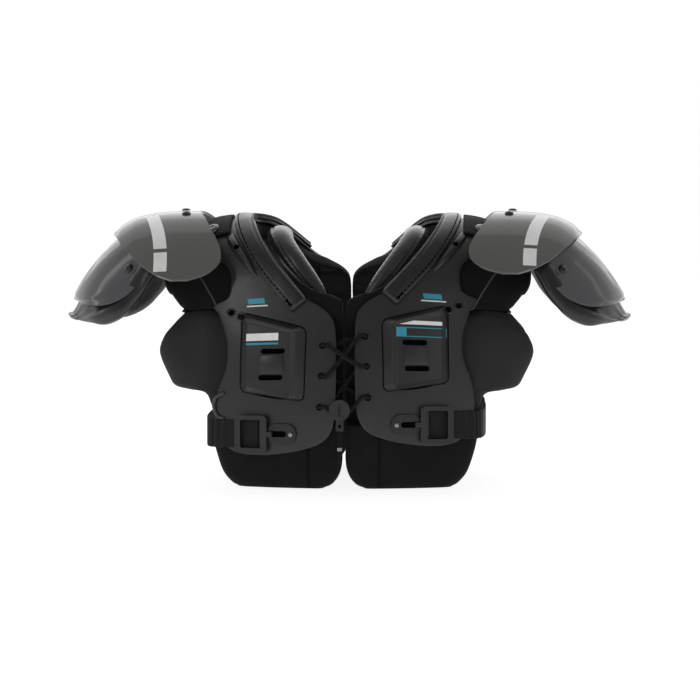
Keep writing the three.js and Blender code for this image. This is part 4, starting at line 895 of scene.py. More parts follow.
def vinyl(name, color, roughness):
    """Coated cloth with a leather grain and soft creases."""
    surface = Surface(name, color, roughness, Sheen_Weight=0.04, Sheen_Roughness=0.4)
    surface.colored(surface.noise(40, 4), 0.3, 0.75, color, shaded(color, 1.35))
    surface.roughened(surface.noise(70, 4), roughness * 0.85, roughness * 1.15)
    surface.bumped(surface.cells(620), 0.18, 0.0003)
    return surface.bumped(surface.noise(34, 3), 0.35, 0.0025)


def woven(name, color, roughness, threads, crease=0.35):
    """Woven cloth over foam."""
    surface = Surface(name, color, roughness, Sheen_Weight=0.05, Sheen_Roughness=0.5, Specular_IOR_Level=0.2)
    weave = surface.product(surface.wave(threads, "X", 0.4), surface.wave(threads, "Z", 0.4))
    surface.colored(surface.noise(22, 5), 0.3, 0.75, color, shaded(color, 1.5))
    surface.bumped(weave, 0.3, 0.0003)
    surface.bumped(surface.noise(300, 3), 0.15, 0.0003)
    return surface.bumped(surface.noise(26, 3), crease, 0.004)


def knitted(name, color):
    """Coarse knit with a diagonal texture."""
    surface = Surface(name, color, 0.9, Sheen_Weight=0.08, Sheen_Roughness=0.6, Specular_IOR_Level=0.3)
    knit = surface.wave(190, "DIAGONAL", 2.5)
    surface.colored(knit, 0.2, 0.9, shaded(color, 0.6), shaded(color, 2.0))
    surface.bumped(knit, 0.7, 0.0008)
    return surface.bumped(surface.cells(420), 0.5, 0.0006)


def ribbed(name, color):
    """Elastic webbing with ribs along its length."""
    surface = Surface(name, color, 0.75, Sheen_Weight=0.05, Sheen_Roughness=0.5, Specular_IOR_Level=0.25)
    ribs = surface.wave(210, "Z", 0.3)
    surface.colored(ribs, 0.1, 0.9, shaded(color, 0.8), shaded(color, 1.3))
    surface.bumped(ribs, 0.35, 0.0004)
    return surface.bumped(surface.wave(500, "X", 0.5), 0.25, 0.0002)


def painted(name, color, roughness=0.4, **sockets):
    surface = Surface(name, color, roughness, **sockets)
    surface.colored(surface.noise(120, 4), 0.3, 0.7, shaded(color, 0.9), color)
    return surface.bumped(surface.noise(700, 2), 0.1, 0.0001)


def metal(name, color, roughness):
    surface = Surface(name, color, roughness, Metallic=1.0)
    surface.colored(surface.noise(160, 4), 0.3, 0.7, shaded(color, 0.75), color)
    surface.roughened(surface.noise(260, 4), roughness * 0.7, roughness * 1.3)
    return surface.bumped(surface.noise(500, 3), 0.15, 0.0002)


PLATE_FINISH = moulded_plastic(
    "arch plastic", (0.016, 0.016, 0.0164), 0.36, Coat_Weight=0.12, Coat_Roughness=0.2
)
EPAULET_FINISH = smoked_plastic("smoked plastic", (0.128, 0.129, 0.124), 0.1, 0.95)
CUP_FINISH = smoked_plastic("cup plastic", (0.095, 0.095, 0.1), 0.13, 1.0)
FASTENER_FINISH = moulded_plastic("black plastic", (0.0105, 0.0105, 0.011), 0.3)
COLLAR_FINISH = vinyl("collar vinyl", (0.011, 0.011, 0.0114), 0.34)
ROLL_FINISH = vinyl("roll vinyl", (0.024, 0.024, 0.0245), 0.3)
CUP_PAD_FINISH = vinyl("cup pad vinyl", (0.01, 0.01, 0.0104), 0.3)
# The liner's cloth is set far darker than the side pads' cloth of the same kind, as painted shade in the arm
# hole under the epaulet
PAD_FINISH = woven("pad cloth", (0.0032, 0.0032, 0.0034), 0.8, 330)
ARM_FINISH = woven("side pad cloth", (0.019, 0.019, 0.0195), 0.7, 330, 0.2)
KNIT_FINISH = knitted("web knit", (0.006, 0.006, 0.006))
STRAP_FINISH = ribbed("strap webbing", (0.011, 0.011, 0.011))
LACE_FINISH = ribbed("lace braid", (0.0025, 0.0025, 0.0025))
# Near-black, nearly unshiny finish of the stitches and seams, also laid on as painted shade at the panel's
# foot, in its vent and in the hook plate's slot
THREAD_AND_SHADE_FINISH = painted("thread_and_painted_shade", (0.003, 0.003, 0.003), 0.8, Specular_IOR_Level=0.04)
PIPING_FINISH = painted("piping", (0.06, 0.06, 0.06), 0.5)
WHITE_FINISH = painted("white paint", (0.9, 0.9, 0.9))
LOOP_FINISH = painted("loop webbing", (0.045, 0.045, 0.046), 0.45)
TEAL_FINISH = painted("teal paint", (0.03, 0.33, 0.44))
STEEL_FINISH = metal("rivet metal", (0.42, 0.42, 0.42), 0.3)
STEEL_DARK_FINISH = metal("dark rivet metal", (0.16, 0.16, 0.165), 0.35)
LOCK_FINISH = moulded_plastic("lock plastic", (0.017, 0.017, 0.0175), 0.42)
FLOOR_FINISH = painted(
    "floor", (0.3, 0.3, 0.3), 0.8, Emission_Color=(1, 1, 1, 1), Emission_Strength=0.86
)


def dressed(piece, surface, slot, *nodes, pad=None):
    """Gives a piece its material and its body, and hides the CAD nodes that it stands for."""
    piece.data.materials.clear()
    piece.data.materials.append(surface.material)
    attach(piece, "root")
    if nodes:
        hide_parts(*nodes)
    return piece


# Pieces


def plate_holes(side):
    """Closed bodies to cut from the arch, in front and at the back."""
    cutters = []

    def hole(name, size, seat):
        outline = round_outline(*size, 10)
        cutters.append(add_mesh(name, *prism_data(outline, seat, -HOLE_REACH, HOLE_REACH)))

    for spot in PANEL_SLOTS:
        hole("slot", PANEL_SLOT, chest_seat(side, spot))
    for spot in EYELETS:
        hole("eyelet", (0, 2 * EYELET_RADIUS), chest_seat(side, spot))
        seat = seat_on_arch(side["sign"], turn_of(spot[0], True), spot[1] * BODY_HALF_WIDTH)
        hole("eyelet", (0, 2 * EYELET_RADIUS), seat)
    for spot in VENTS:
        hole("vent", (0, 2 * VENT_RADIUS), chest_seat(side, spot))
    return cutters


def panel_points(side, top, floor, detail):
    """Outer and inner grid of the raised panel, with soft bevels round its flat top."""
    edge = PANEL_BEVEL * np.array([0, 0.12, 0.24, 0.38, 0.54, 0.7, 0.84, 0.93])
    places = np.concatenate([edge, np.linspace(PANEL_BEVEL, 1 - PANEL_BEVEL, detail), 1 - edge[::-1]])
    r, c = np.meshgrid(places, places, indexing="ij")

    def from_edge(p):
        """0 at the panel's edge and 1 where its flat top begins."""
        return (0.5 - np.abs(p - 0.5)) / PANEL_BEVEL

    def ease(p):
        share = np.clip(from_edge(p), 0, 1)
        return mix(share, smooth(share), 0.2)

    def within(p):
        return np.clip((p - PANEL_BEVEL) / (1 - 2 * PANEL_BEVEL), 0, 1)

    def rounded(up, across):
        """Draws the corners of the square in to arcs."""
        sides = [2 * across - 1, 2 * up - 1]
        past = [np.maximum(np.abs(v) - 1 + PANEL_CORNER, 0) / PANEL_CORNER for v in sides]
        reach = np.maximum(np.hypot(*past), 1e-9)
        pull = np.where(np.minimum(*past) > 0, np.maximum(*past) / reach, 1)
        straight = 1 - PANEL_CORNER
        kept = [np.where(q > 0, straight + PANEL_CORNER * q * pull, np.abs(v)) for q, v in zip(past, sides)]
        return [0.5 + 0.5 * np.sign(v) * k for v, k in zip(sides, kept)]

    inset = np.minimum(from_edge(r), from_edge(c))
    lift = np.clip(inset, 0, 1)
    across, up = rounded(within(r), within(c))

    def spot(corners):
        foot = [mix(corners["foot_inner"][i], corners["foot_outer"][i], across) for i in (0, 1)]
        head = [mix(corners["top_inner"][i], corners["top_outer"][i], across) for i in (0, 1)]
        return [mix(foot[i], head[i], up) for i in (0, 1)]

    base, crown = spot(PANEL_BASE), spot(PANEL_TOP)
    rise, out = (mix(base[i], crown[i], lift) for i in (0, 1))
    half = PLATE_WALL / 2
    rim = PANEL_RIM * np.exp(-(((inset - 1.05) / 0.3) ** 2))
    height = np.where(lift <= 0, half - PANEL_SINK, mix(half, top, np.minimum(ease(r), ease(c))) + rim)
    turn = turn_of(lifted(rise, side["lift"]))
    outer = on_arch(side["sign"], turn, out * BODY_HALF_WIDTH, height)
    inner = on_arch(side["sign"], turn, out * BODY_HALF_WIDTH, np.full_like(out, floor))
    return outer, inner


def rib_slab(side):
    """Rib moulded into the arch between its collar and its arm hole."""
    rows = on_chest(RIB, side["lift"])
    r, c = grid(60, 17)
    u = 2 * c - 1
    relief = RIB_RELIEF * np.sqrt(1 - 0.97 * u**2) * np.minimum(4 * r * (1 - r) + 0.15, 1)
    rise = PLATE_WALL / 2 - RIB_SINK + relief
    half = column(rows, "half", r) * BODY_HALF_WIDTH
    top = along_strip(side["sign"], rows, r, u, half, rise)
    return add_slab("rib", top, along_strip(side["sign"], rows, r, u, half, np.zeros_like(u)))


def panel_loop(side):
    """Short bar of webbing on the panel, between its two slots."""
    length, width, height = PANEL_LOOP
    middle = tuple((PANEL_SLOTS[0][i] + PANEL_SLOTS[1][i]) / 2 for i in (0, 1))
    top = PLATE_WALL / 2 + PANEL_RELIEF
    x, y = length / 2, width / 2
    box = [(-x, -y), (x, -y), (x, y), (-x, y)]
    loop = add_mesh("loop", *prism_data(box, chest_seat(side, middle), top - 2, top + height))
    bevel(loop, PLATE_ROUNDING, 3)
    return applied(loop)


def hole_rings(side):
    """Thin rings round the eyelets, in front and at the back, and round the vents."""
    half = PLATE_WALL / 2
    rings = []
    for rise, out in EYELETS:
        for is_back in (False, True):
            share = rise if is_back else lifted(rise, side["lift"])
            seat = seat_on_arch(side["sign"], turn_of(share, is_back), out * BODY_HALF_WIDTH)
            rings.append(add_mesh("ring", *ring_data(seat, *EYELET_RING, half)))
    for spot in VENTS:
        rings.append(add_mesh("ring", *ring_data(chest_seat(side, spot), *VENT_RING, half)))
    return rings


def add_plate(side):
    """Hard arch with its raised panel, rib, loop, slots, eyelets and vents, and a dark line of painted shade
    round the panel's foot.
    """
    name, sign = side["name"], side["sign"]
    rows = over_the_shoulder(PLATE_FRONT, PLATE_BACK, side["lift"])
    r, c = np.meshgrid(row_places(rows, 5), np.linspace(0, 1, 42), indexing="ij")
    turn = column(rows, "turn", r)
    inner = column(rows, "inner", r) + side["spread"] * np.maximum(np.cos(turn), 0)
    out = mix(inner, column(rows, "outer", r), c) * BODY_HALF_WIDTH
    half = PLATE_WALL / 2
    sheet = add_slab("sheet", on_arch(sign, turn, out, half), on_arch(sign, turn, out, -half))
    rib = rib_slab(side)
    panel_face, panel_back = panel_points(side, half + PANEL_RELIEF, half - 2, 60)
    panel = add_slab("panel", panel_face, panel_back, 30)

    cutters = plate_holes(side)
    for piece in (sheet, panel, rib):
        cut(piece, cutters)
    for cutter in cutters:
        bpy.data.objects.remove(cutter)
    loop = panel_loop(side)
    bevel(sheet, PLATE_ROUNDING, 2, 60)
    applied(sheet)

    foot, far = panel_face[0, :-1], panel_face[:-1, -1]
    head, near = panel_face[-1, :0:-1], panel_face[:1:-1, 0]
    around = evenly(np.concatenate([foot, far, head, near]), 1.5)
    # Dark tube round the panel's foot: painted shade where the panel meets the arch
    dressed(add_tube(f"panel_shade_line_{name}", around, PANEL_SHADE_LINE_RADIUS, 8), THREAD_AND_SHADE_FINISH, "arch_plastic")
    plate = joined(f"dressed_arch_plate_{name}", [sheet, panel, loop, rib, *hole_rings(side)])
    dressed(plate, PLATE_FINISH, "arch_plastic", f"arch_plate_{name}")


def add_panel_vent_shade(side):
    """Dark sheet of painted shade in the vent between the panel's foot and the arch, thin at both ends."""
    r, c = grid(40, 8)
    foot = [mix(PANEL_BASE["foot_outer"][i], PANEL_BASE["foot_inner"][i], r) for i in (0, 1)]
    low, high = PANEL_VENT
    within = np.clip((r - low) / (high - low), 0, 1)
    drop = PANEL_VENT_DEPTH * np.sqrt(np.sin(math.pi * within))
    turn = turn_of(lifted(foot[0] + PANEL_VENT_DEPTH * 0.4 - drop * c, side["lift"]))
    out = foot[1] * BODY_HALF_WIDTH
    off = PLATE_WALL / 2 + 0.15 + 0.5 * (1 - c)
    top = on_arch(side["sign"], turn, out, off)
    under = on_arch(side["sign"], turn, out, np.full_like(off, PLATE_WALL / 2 - 0.3))
    keep = (within[:, 0] > 0) & (within[:, 0] < 1)
    shade_sheet = add_slab(f"panel_vent_shade_{side['name']}", top[keep], under[keep])
    dressed(shade_sheet, THREAD_AND_SHADE_FINISH, "arch_plastic")


def add_slot_shade(side):
    """Dark patch on the arch under the slot of the hook plate: painted shade that shows through the slot."""
    (low, high), (near, far) = SLOT_SHADE
    low, high = lifted(low, side["lift"]), lifted(high, side["lift"])
    corners = [(high, far), (high, near), (low, far), (low, near)]
    add_patch(f"slot_shade_{side['name']}", side, corners, PLATE_WALL / 2 + 0.12, THREAD_AND_SHADE_FINISH, "arch_plastic")


def add_edge_loop():
    """Curled loop of webbing at the outer edge of the left arch, above its strap."""
    left = SIDES[0]
    out = EDGE_LOOP["out"] * BODY_HALF_WIDTH
    points = on_arch(left["sign"], turn_of(EDGE_LOOP["rise"]), out, EDGE_LOOP["off"])
    loop = add_tube("edge_loop", evenly(through(points, 8), 0.8), EDGE_LOOP_RADIUS, 10)
    dressed(loop, LOOP_FINISH, "knit_webbing")


def liner_points(side, places, detail):
    """Places and outer and inner face of the liner, with a bed for the laces along its inner edge."""
    rows = over_the_shoulder(LINER_FRONT, LINER_BACK, 0)
    r, c = np.meshgrid(row_places(rows, detail), places, indexing="ij")
    at_bed, past_bed = 0.2, 0.25
    inner, outer = column(rows, "inner", r), column(rows, "outer", r)
    bed = np.maximum(LACE_BED, inner + 0.04)
    step = bed + 0.03
    share = inner + (bed - inner) * c / at_bed
    between = bed + (step - bed) * (c - at_bed) / (past_bed - at_bed)
    beyond = step + (outer - step) * (c - past_bed) / (1 - past_bed)
    share = np.where(c > past_bed, beyond, np.where(c > at_bed, between, share))
    turn = column(rows, "turn", r)
    full = LINER_THICKNESS * column(rows, "fill", r)
    ease = (LINER_THICKNESS - full) / 3
    rise = np.maximum(np.sin(turn), 0) ** (2 / ARCH_SQUARENESS)
    laced = smooth((rise - LACED_FROM + 0.01) / 0.02) * smooth((LACED_TO + 0.01 - rise) / 0.02)
    bed_depth = LACE_BED_DEPTH * laced * smooth((past_bed - c) / 0.05)
    rounded = LINER_THICKNESS * 0.42 * (1 - pillow(c, 9, 0))
    top = -(PLATE_WALL / 2 + BENT_GAP)
    out = share * BODY_HALF_WIDTH
    upper = top - np.maximum(ease + rounded, bed_depth)
    lower = top + ease - LINER_THICKNESS + rounded
    return r, c, on_arch(side["sign"], turn, out, upper), on_arch(side["sign"], turn, out, lower)


def add_liner(side):
    """Padding under the arch, with quilted channels inside."""
    places = np.unique(np.concatenate([rounded_places(40, 0.01), [0.2, 0.21, 0.225, 0.24, 0.25]]))
    r, c, outer, inner = liner_points(side, places, 6)
    inside = unit(inner - outer)
    channel = 0.5 + 0.5 * np.cos(2 * math.pi * r * QUILT_CHANNELS)
    inner = inner - inside * (1.6 * channel**6 * pillow(c, 6, 0))[..., None]
    liner = add_slab(f"dressed_liner_{side['name']}", outer, inner, ALL_SMOOTH)
    return dressed(liner, PAD_FINISH, "pad_fabric", f"liner_{side['name']}", pad=0.7)


def add_side_pad(side, is_back):
    """Padded lobe beside the arch, with a fold down its face and a black seam along its top, which also
    stands as painted shade under the cloth above.
    """
    rows = SIDE_PAD
    r, c = np.meshgrid(row_places(rows, 7), rounded_places(30, 0.008), indexing="ij")
    inner, outer = column(rows, "inner", r), column(rows, "outer", r)
    share = mix(inner, outer, c)
    ends = 0.12 + 0.88 * smooth(np.minimum(r, 1 - r) / 0.08)
    half = (SIDE_PAD_THICKNESS / 2) * column(rows, "fill", r) * pillow(c, 2.6, 0.05) * ends
    clear = np.clip((share - column(rows, "free", r)) / 0.12, 0, 1)
    crown = SIDE_PAD_CROWN - SIDE_PAD_THICKNESS / 2
    tucked = -(PLATE_WALL / 2 + SEAT_GAP) - SIDE_PAD_THICKNESS / 2
    middle = mix(tucked, crown, smooth(clear))
    fold = 1.4 * np.exp(-(((c - 0.62 + 0.25 * r) / 0.045) ** 2)) * smooth((0.5 - r) / 0.4)
    turn = turn_of(column(rows, "rise", r), is_back)
    out = share * BODY_HALF_WIDTH
    front = on_arch(side["sign"], turn, out, middle + half - fold)
    back = on_arch(side["sign"], turn, out, middle - half)
    where = "back" if is_back else "front"
    name = f"dressed_side_pad_{where}_{side['name']}"
    pad = add_slab(name, front, back, ALL_SMOOTH)
    dressed(pad, ARM_FINISH, "pad_fabric", f"side_pad_{where}_{side['name']}", pad=0.8)

    # The seam is near-black partly as painted shade where the pad tucks under the cloth above
    edge = 0.5 * (front[-1] + back[-1])[2:-2]
    seam = add_tube(f"side_pad_seam_shade_{where}_{side['name']}", edge, SEAM_RADIUS, 10)
    dressed(seam, THREAD_AND_SHADE_FINISH, "pad_fabric")


def collar_rows(side):
    return over_the_shoulder(COLLAR_FRONT, COLLAR_BACK, side["lift"])


def add_collar(side):
    """Stitched strip along the neck opening, with a piped inner edge and a crossed stitch at its end."""
    name, sign = side["name"], side["sign"]
    rows = collar_rows(side)
    seat = PLATE_WALL / 2 + BENT_GAP
    r, c = np.meshgrid(row_places(rows, 10), rounded_places(24, 0.01), indexing="ij")
    u = 2 * c - 1
    half = np.full_like(u, COLLAR_WIDTH / 2)
    groove = 0.8 * np.exp(-(((u - 0.62) / 0.07) ** 2)) + 0.9 * np.exp(-(((u + 0.72) / 0.06) ** 2))
    puff = 0.5 * np.sin(9 * math.pi * r) * (1 - u**2) * 0.4
    rise = COLLAR_THICKNESS * (0.35 + 0.65 * np.sqrt(np.maximum(1 - np.abs(u) ** 4, 0))) - groove + puff
    ends = smooth(np.minimum(r, 1 - r) / 0.012)
    top = along_strip(sign, rows, r, u, half, seat + rise * (0.4 + 0.6 * ends))
    under = along_strip(sign, rows, r, u, half, np.full_like(u, seat))
    strip = add_slab(f"dressed_collar_{name}", top, under, 60)
    dressed(strip, COLLAR_FINISH, "collar_vinyl", f"collar_{name}", pad=0.5)

    def at(place, across, off):
        place = np.asarray(place, float)
        flat = np.full_like(place, across)
        return along_strip(sign, rows, place, flat, np.full_like(place, COLLAR_WIDTH / 2), flat * 0 + off)

    line = at(np.linspace(0.012, 0.985, 120), -0.93, seat + 3.4)
    piping = add_tube(f"collar_piping_{name}", line, COLLAR_PIPING_RADIUS, 10)
    dressed(piping, PIPING_FINISH, "collar_vinyl")

    line = evenly(at(np.linspace(0.02, 0.98, 400), 0.62, seat + COLLAR_THICKNESS - 0.75), 1.0)
    stitches = [add_tube("stitch", line[i : i + 4], STITCH_RADIUS, 6) for i in range(0, len(line) - 4, 5)]
    height = seat + COLLAR_THICKNESS - 0.2
    for a, b in (((0.022, 0.5), (0.05, 0.84)), ((0.05, 0.5), (0.022, 0.84))):
        ends = np.concatenate([at([a[0]], a[1], height), at([b[0]], b[1], height)])
        stitches.append(add_tube("stitch", through(ends, 6), STITCH_RADIUS, 6))
    dressed(joined(f"collar_stitches_{name}", stitches), THREAD_AND_SHADE_FINISH, "collar_vinyl")


def add_neck_roll(side):
    """Vinyl roll with puckered seams along both edges."""
    name, sign = side["name"], side["sign"]
    rows = over_the_shoulder(ROLL_FRONT, ROLL_BACK, 0)
    r, c = np.meshgrid(row_places(rows, 12), rounded_places(30, 0.01), indexing="ij")
    u = 2 * c - 1
    half = column(rows, "half", r) * BODY_HALF_WIDTH
    fill = column(rows, "fill", r)
    pucker = 1 - 0.06 * np.sin(46 * math.pi * r) * np.abs(u) ** 3
    thick = (ROLL_DEPTH / 2) * fill * (0.06 + 0.94 * np.sqrt(np.maximum(1 - u**2, 0))) * pucker
    middle = -ROLL_DEPTH * column(rows, "sink", r)
    seam = 1.0 * np.exp(-(((u - 0.55) / 0.05) ** 2))
    top = along_strip(sign, rows, r, u, half, middle + thick - seam)
    under = along_strip(sign, rows, r, u, half, middle - thick)
    roll = add_slab(f"dressed_neck_roll_{name}", top, under, ALL_SMOOTH)
    dressed(roll, ROLL_FINISH, "collar_vinyl", f"neck_roll_{name}", pad=0.8)


def add_epaulet(side):
    """Smoked flap, whose outline is mirrored from its back half to its front half."""
    rows = {key: np.concatenate([values[:0:-1], values]) for key, values in EPAULET.items()}
    rows["along"][: len(EPAULET["along"]) - 1] *= -1
    r, c = np.meshgrid(row_places(rows, 7), np.linspace(0, 1, 44), indexing="ij")
    out = mix(column(rows, "inner", r), column(rows, "outer", r), c) * EPAULET_REACH
    along = column(rows, "along", r)
    top = under_epaulet(side, along, out, np.zeros_like(out))
    under = under_epaulet(side, along, out, np.full_like(out, EPAULET_WALL))
    flap = add_slab(f"dressed_epaulet_{side['name']}", top, under, 60, EPAULET_ROUNDING)
    dressed(applied(flap), EPAULET_FINISH, "smoked_plastic", f"epaulet_{side['name']}")


def add_epaulet_mark(side):
    """Plain white stripe painted down the front of the epaulet, in two lengths."""
    parts = []
    for low, high in EPAULET_STRIPES:
        along, c = np.meshgrid(np.linspace(low, high, 30), np.linspace(0, 1, 8), indexing="ij")
        share = 0.735 + 0.085 * smooth((along + 0.95) / 0.9) + 0.055 * c
        top = under_epaulet(side, along, share * EPAULET_REACH, np.full_like(along, -0.12))
        under = under_epaulet(side, along, share * EPAULET_REACH, np.full_like(along, -0.02))
        parts.append(add_slab("stripe", top, under))
    dressed(joined(f"epaulet_stripe_{side['name']}", parts), WHITE_FINISH, "smoked_plastic")


def add_web(side):
    """Knitted web that lies on the arch and hangs under the epaulet."""
    r, c = grid(60, 50)
    turn = WEB_FROM + (math.pi - 2 * WEB_FROM) * r
    share = mix(WEB_START, WEB_END, c)
    out = share * BODY_HALF_WIDTH
    low = PLATE_WALL / 2 + 2 * BENT_GAP
    along = arch_face(turn, np.zeros_like(out))[..., 1] / EPAULET_HALF_LENGTH
    f = smooth((share - WEB_LEAVES_ARCH) / (WEB_MEETS_EPAULET - WEB_LEAVES_ARCH))[..., None]

    def level(is_top):
        flat = on_arch(side["sign"], turn, out, np.full_like(out, low + (WEB_THICKNESS if is_top else 0)))
        depth = EPAULET_WALL + 3 * BENT_GAP + (0 if is_top else WEB_THICKNESS)
        return mix(flat, under_epaulet(side, along, out, np.full_like(out, depth)), f)

    web = add_slab(f"dressed_shoulder_web_{side['name']}", level(True), level(False), 60, WEB_ROUNDING)
    dressed(applied(web), KNIT_FINISH, "knit_webbing", f"shoulder_web_{side['name']}")


def cup_relief(r, c):
    """Raised inner face of the cup and the soft ridge down its front, as a height off its outer face."""
    rim = np.minimum(smooth((c - 0.03) / 0.03), smooth((0.97 - c) / 0.03))
    rim = np.minimum(rim, smooth((0.955 - r) / 0.03))
    ridge = np.exp(-(((c - 0.3 - 0.1 * r) / 0.02) ** 2)) * smooth(r / 0.4)
    return 0.9 * rim + 0.35 * ridge


def add_cup(side):
    r, c = np.meshgrid(np.linspace(0, 1, 90), np.linspace(0, 1, 110), indexing="ij")
    top = under_dome(side["sign"], CUP, CUP_REACH, CUP_HALF_LENGTH, r, c, 0.9 - cup_relief(r, c))
    under = under_dome(side["sign"], CUP, CUP_REACH, CUP_HALF_LENGTH, r, c, np.full_like(r, CUP_WALL))
    cup = add_slab(f"dressed_shoulder_cup_{side['name']}", top, under, 60, CUP_ROUNDING)
    dressed(applied(cup), CUP_FINISH, "cup_plastic", f"shoulder_cup_{side['name']}")


def add_cup_pad(side):
    """Vinyl padding under the cup: the cup presses into it, and its lip swells past the cup's edge."""
    r, c = np.meshgrid(CUP_PAD_TIP * row_places(CUP_PAD, 9), rounded_places(64, 0.006), indexing="ij")
    full = CUP_PAD_THICKNESS * column(CUP_PAD, "fill", r)
    ease = (CUP_PAD_THICKNESS - full) / 2
    round_off = CUP_PAD_THICKNESS * 0.42 * (1 - pillow(c, 10, 0))
    left = CUP_PAD_TIP - r
    end = CUP_PAD_THICKNESS * 0.28 * (1 - np.sqrt(smooth(left / 0.045)))
    beside = smooth((c - 0.05) / 0.05) * smooth((0.95 - c) / 0.05)
    pressed = PRESS_OF_CUP * beside * smooth((left - 0.04) / 0.05)
    wrinkle = 0.3 * np.sin(60 * c + 9 * np.sin(6 * r)) * smooth((r - 0.7) / 0.06) * smooth(left / 0.06)
    depth = np.minimum(ease + round_off + end, CUP_PAD_THICKNESS * 0.4)

    def at(depth_below):
        return under_dome(side["sign"], CUP_PAD, CUP_PAD_REACH, CUP_PAD_HALF_LENGTH, r, c, depth_below)

    inner = at(np.maximum(CUP_PAD_THICKNESS - depth, depth + pressed + 2))
    pad = add_slab(f"dressed_cup_pad_{side['name']}", at(depth + pressed + wrinkle), inner, ALL_SMOOTH)
    dressed(pad, CUP_PAD_FINISH, "pad_fabric", f"cup_pad_{side['name']}", pad=0.8)


def strap_points(side, p, z, off):
    """Points off the inner face of the side strap, from its front end round the side to its back end."""
    p, z = np.broadcast_arrays(np.asarray(p, float), np.asarray(z, float))
    off = np.broadcast_to(np.asarray(off, float), p.shape)
    points = np.zeros(p.shape + (3,))
    leave = STRAP_LEAVES_ARCH * BODY_HALF_WIDTH
    for is_back in (False, True):
        turn = turn_of(z / ARCH_HEIGHT, is_back)
        lift = PLATE_WALL / 2 + SEAT_GAP + off
        q = 2 * np.where(is_back, 1 - p, p)
        end = (STRAP_BACK_END if is_back else STRAP_FRONT_END) * BODY_HALF_WIDTH
        flat = on_arch(1, turn, mix(end, leave, np.clip(q / STRAP_ON_ARCH, 0, 1)), lift)
        before = on_arch(1, turn, np.full_like(z, leave - 1), lift)
        first = on_arch(1, turn, np.full_like(z, leave), lift)
        ahead = unit(first - before) * STRAP_SWING
        last = np.stack([SIDE_REACH + off - STRAP_THICKNESS, np.zeros_like(z), z], axis=-1)
        away = np.array([0, STRAP_SWING if is_back else -STRAP_SWING, 0])
        t = np.clip((q - STRAP_ON_ARCH) / (1 - STRAP_ON_ARCH), 0, 1)[..., None]
        s = 1 - t
        bend = s**3 * first + 3 * s**2 * t * (first + ahead) + 3 * s * t**2 * (last + away) + t**3 * last
        found = np.where((q < STRAP_ON_ARCH)[..., None], flat, bend)
        mine = (p > 0.5) if is_back else (p <= 0.5)
        points = np.where(mine[..., None], found, points)
    return points * np.array([side["sign"], 1, 1])


def add_strap(side):
    """Elastic webbing, gathered in upright folds beside the buckle."""
    middle = STRAP_RISE * ARCH_HEIGHT + side["lift"]
    r, c = np.meshgrid(np.linspace(0, 1, 320), np.linspace(0, 1, 15), indexing="ij")
    gathered = smooth((r - 0.1) / 0.02) * smooth((0.26 - r) / 0.06)
    fold = 0.75 * gathered * (1 + np.sin(2 * math.pi * r / 0.027 + 0.8 * c))
    z = middle + (c - 0.5) * STRAP_WIDTH
    top = strap_points(side, r, z, STRAP_THICKNESS + fold)
    under = strap_points(side, r, z, np.zeros_like(r))
    strap = add_slab(f"dressed_side_strap_{side['name']}", top, under, 60, STRAP_ROUNDING)
    dressed(applied(strap), STRAP_FINISH, "knit_webbing", f"side_strap_{side['name']}")


def add_arm_piping(side):
    """Pale piping on the cloth beside the arm hole."""
    r = np.linspace(0, 1, 40)
    turn = turn_of(column(ARM_PIPING, "rise", r))
    out = column(ARM_PIPING, "out", r) * BODY_HALF_WIDTH
    off = -(PLATE_WALL / 2 + BENT_GAP) - 0.3
    line = on_arch(side["sign"], turn, out, np.full_like(out, off))
    piping = add_tube(f"arm_piping_{side['name']}", line, ARM_PIPING_RADIUS, 10)
    dressed(piping, PIPING_FINISH, "pad_fabric")


def lock_place(is_back, off):
    turn = turn_of(LOCK_SPOT[0], is_back)
    return on_arch(1 if is_back else -1, turn, 0 if is_back else LOCK_SPOT[1] * BODY_HALF_WIDTH, off)


def lace_line(is_back):
    """Points of a lace through the six eyelets, as in the part's source."""
    left, right = SIDES
    over = PLATE_WALL / 2 + SEAT_GAP + LACE_DIAMETER / 2 + LACE_SLACK
    step = LACE_DIAMETER + SEAT_GAP
    lock_off = PLATE_WALL / 2 + SEAT_GAP + LOCK_THICKNESS / 2

    def at(side, i, off, inward):
        rise, out = EYELETS[i]
        rise = rise if is_back else lifted(rise, side["lift"])
        return on_arch(side["sign"], turn_of(rise, is_back), out * BODY_HALF_WIDTH - inward, off)

    def hole(side, i, outward):
        swing = 1.4 * LACE_DIAMETER
        steps = ((-over, swing), (-0.6 * over, 0), (0.6 * over, 0), (over, swing))
        points = [at(side, i, off, inward) for off, inward in steps]
        return points if outward else points[::-1]

    def between(a, b, off):
        middle = (at(*a, 0, 0) + at(*b, 0, 0)) / 2
        middle[1] = on_arch(1, turn_of(middle[2] / ARCH_HEIGHT, is_back), 0, off)[1]
        return middle

    def lock(shift):
        return lock_place(is_back, lock_off) + np.array([shift, 0, 0])

    return [
        lock(-0.6), lock(-LOCK_RADIUS), *hole(left, 2, False),
        between((left, 2), (right, 1), -over), *hole(right, 1, True),
        between((right, 1), (left, 0), over + step), *hole(left, 0, False),
        between((left, 0), (right, 0), -over), *hole(right, 0, True),
        between((right, 0), (left, 1), over), *hole(left, 1, False),
        between((left, 1), (right, 2), -over - step), *hole(right, 2, True),
        lock(LOCK_RADIUS), lock(0.6),
    ]


def braid(i, k):
    """Ripple of a braided lace with twelve sides."""
    return 0.93 + 0.07 * math.sin(math.pi * (k / 1.5 + i * 0.9)) * math.sin(math.pi * (k / 1.5 - i * 0.9))


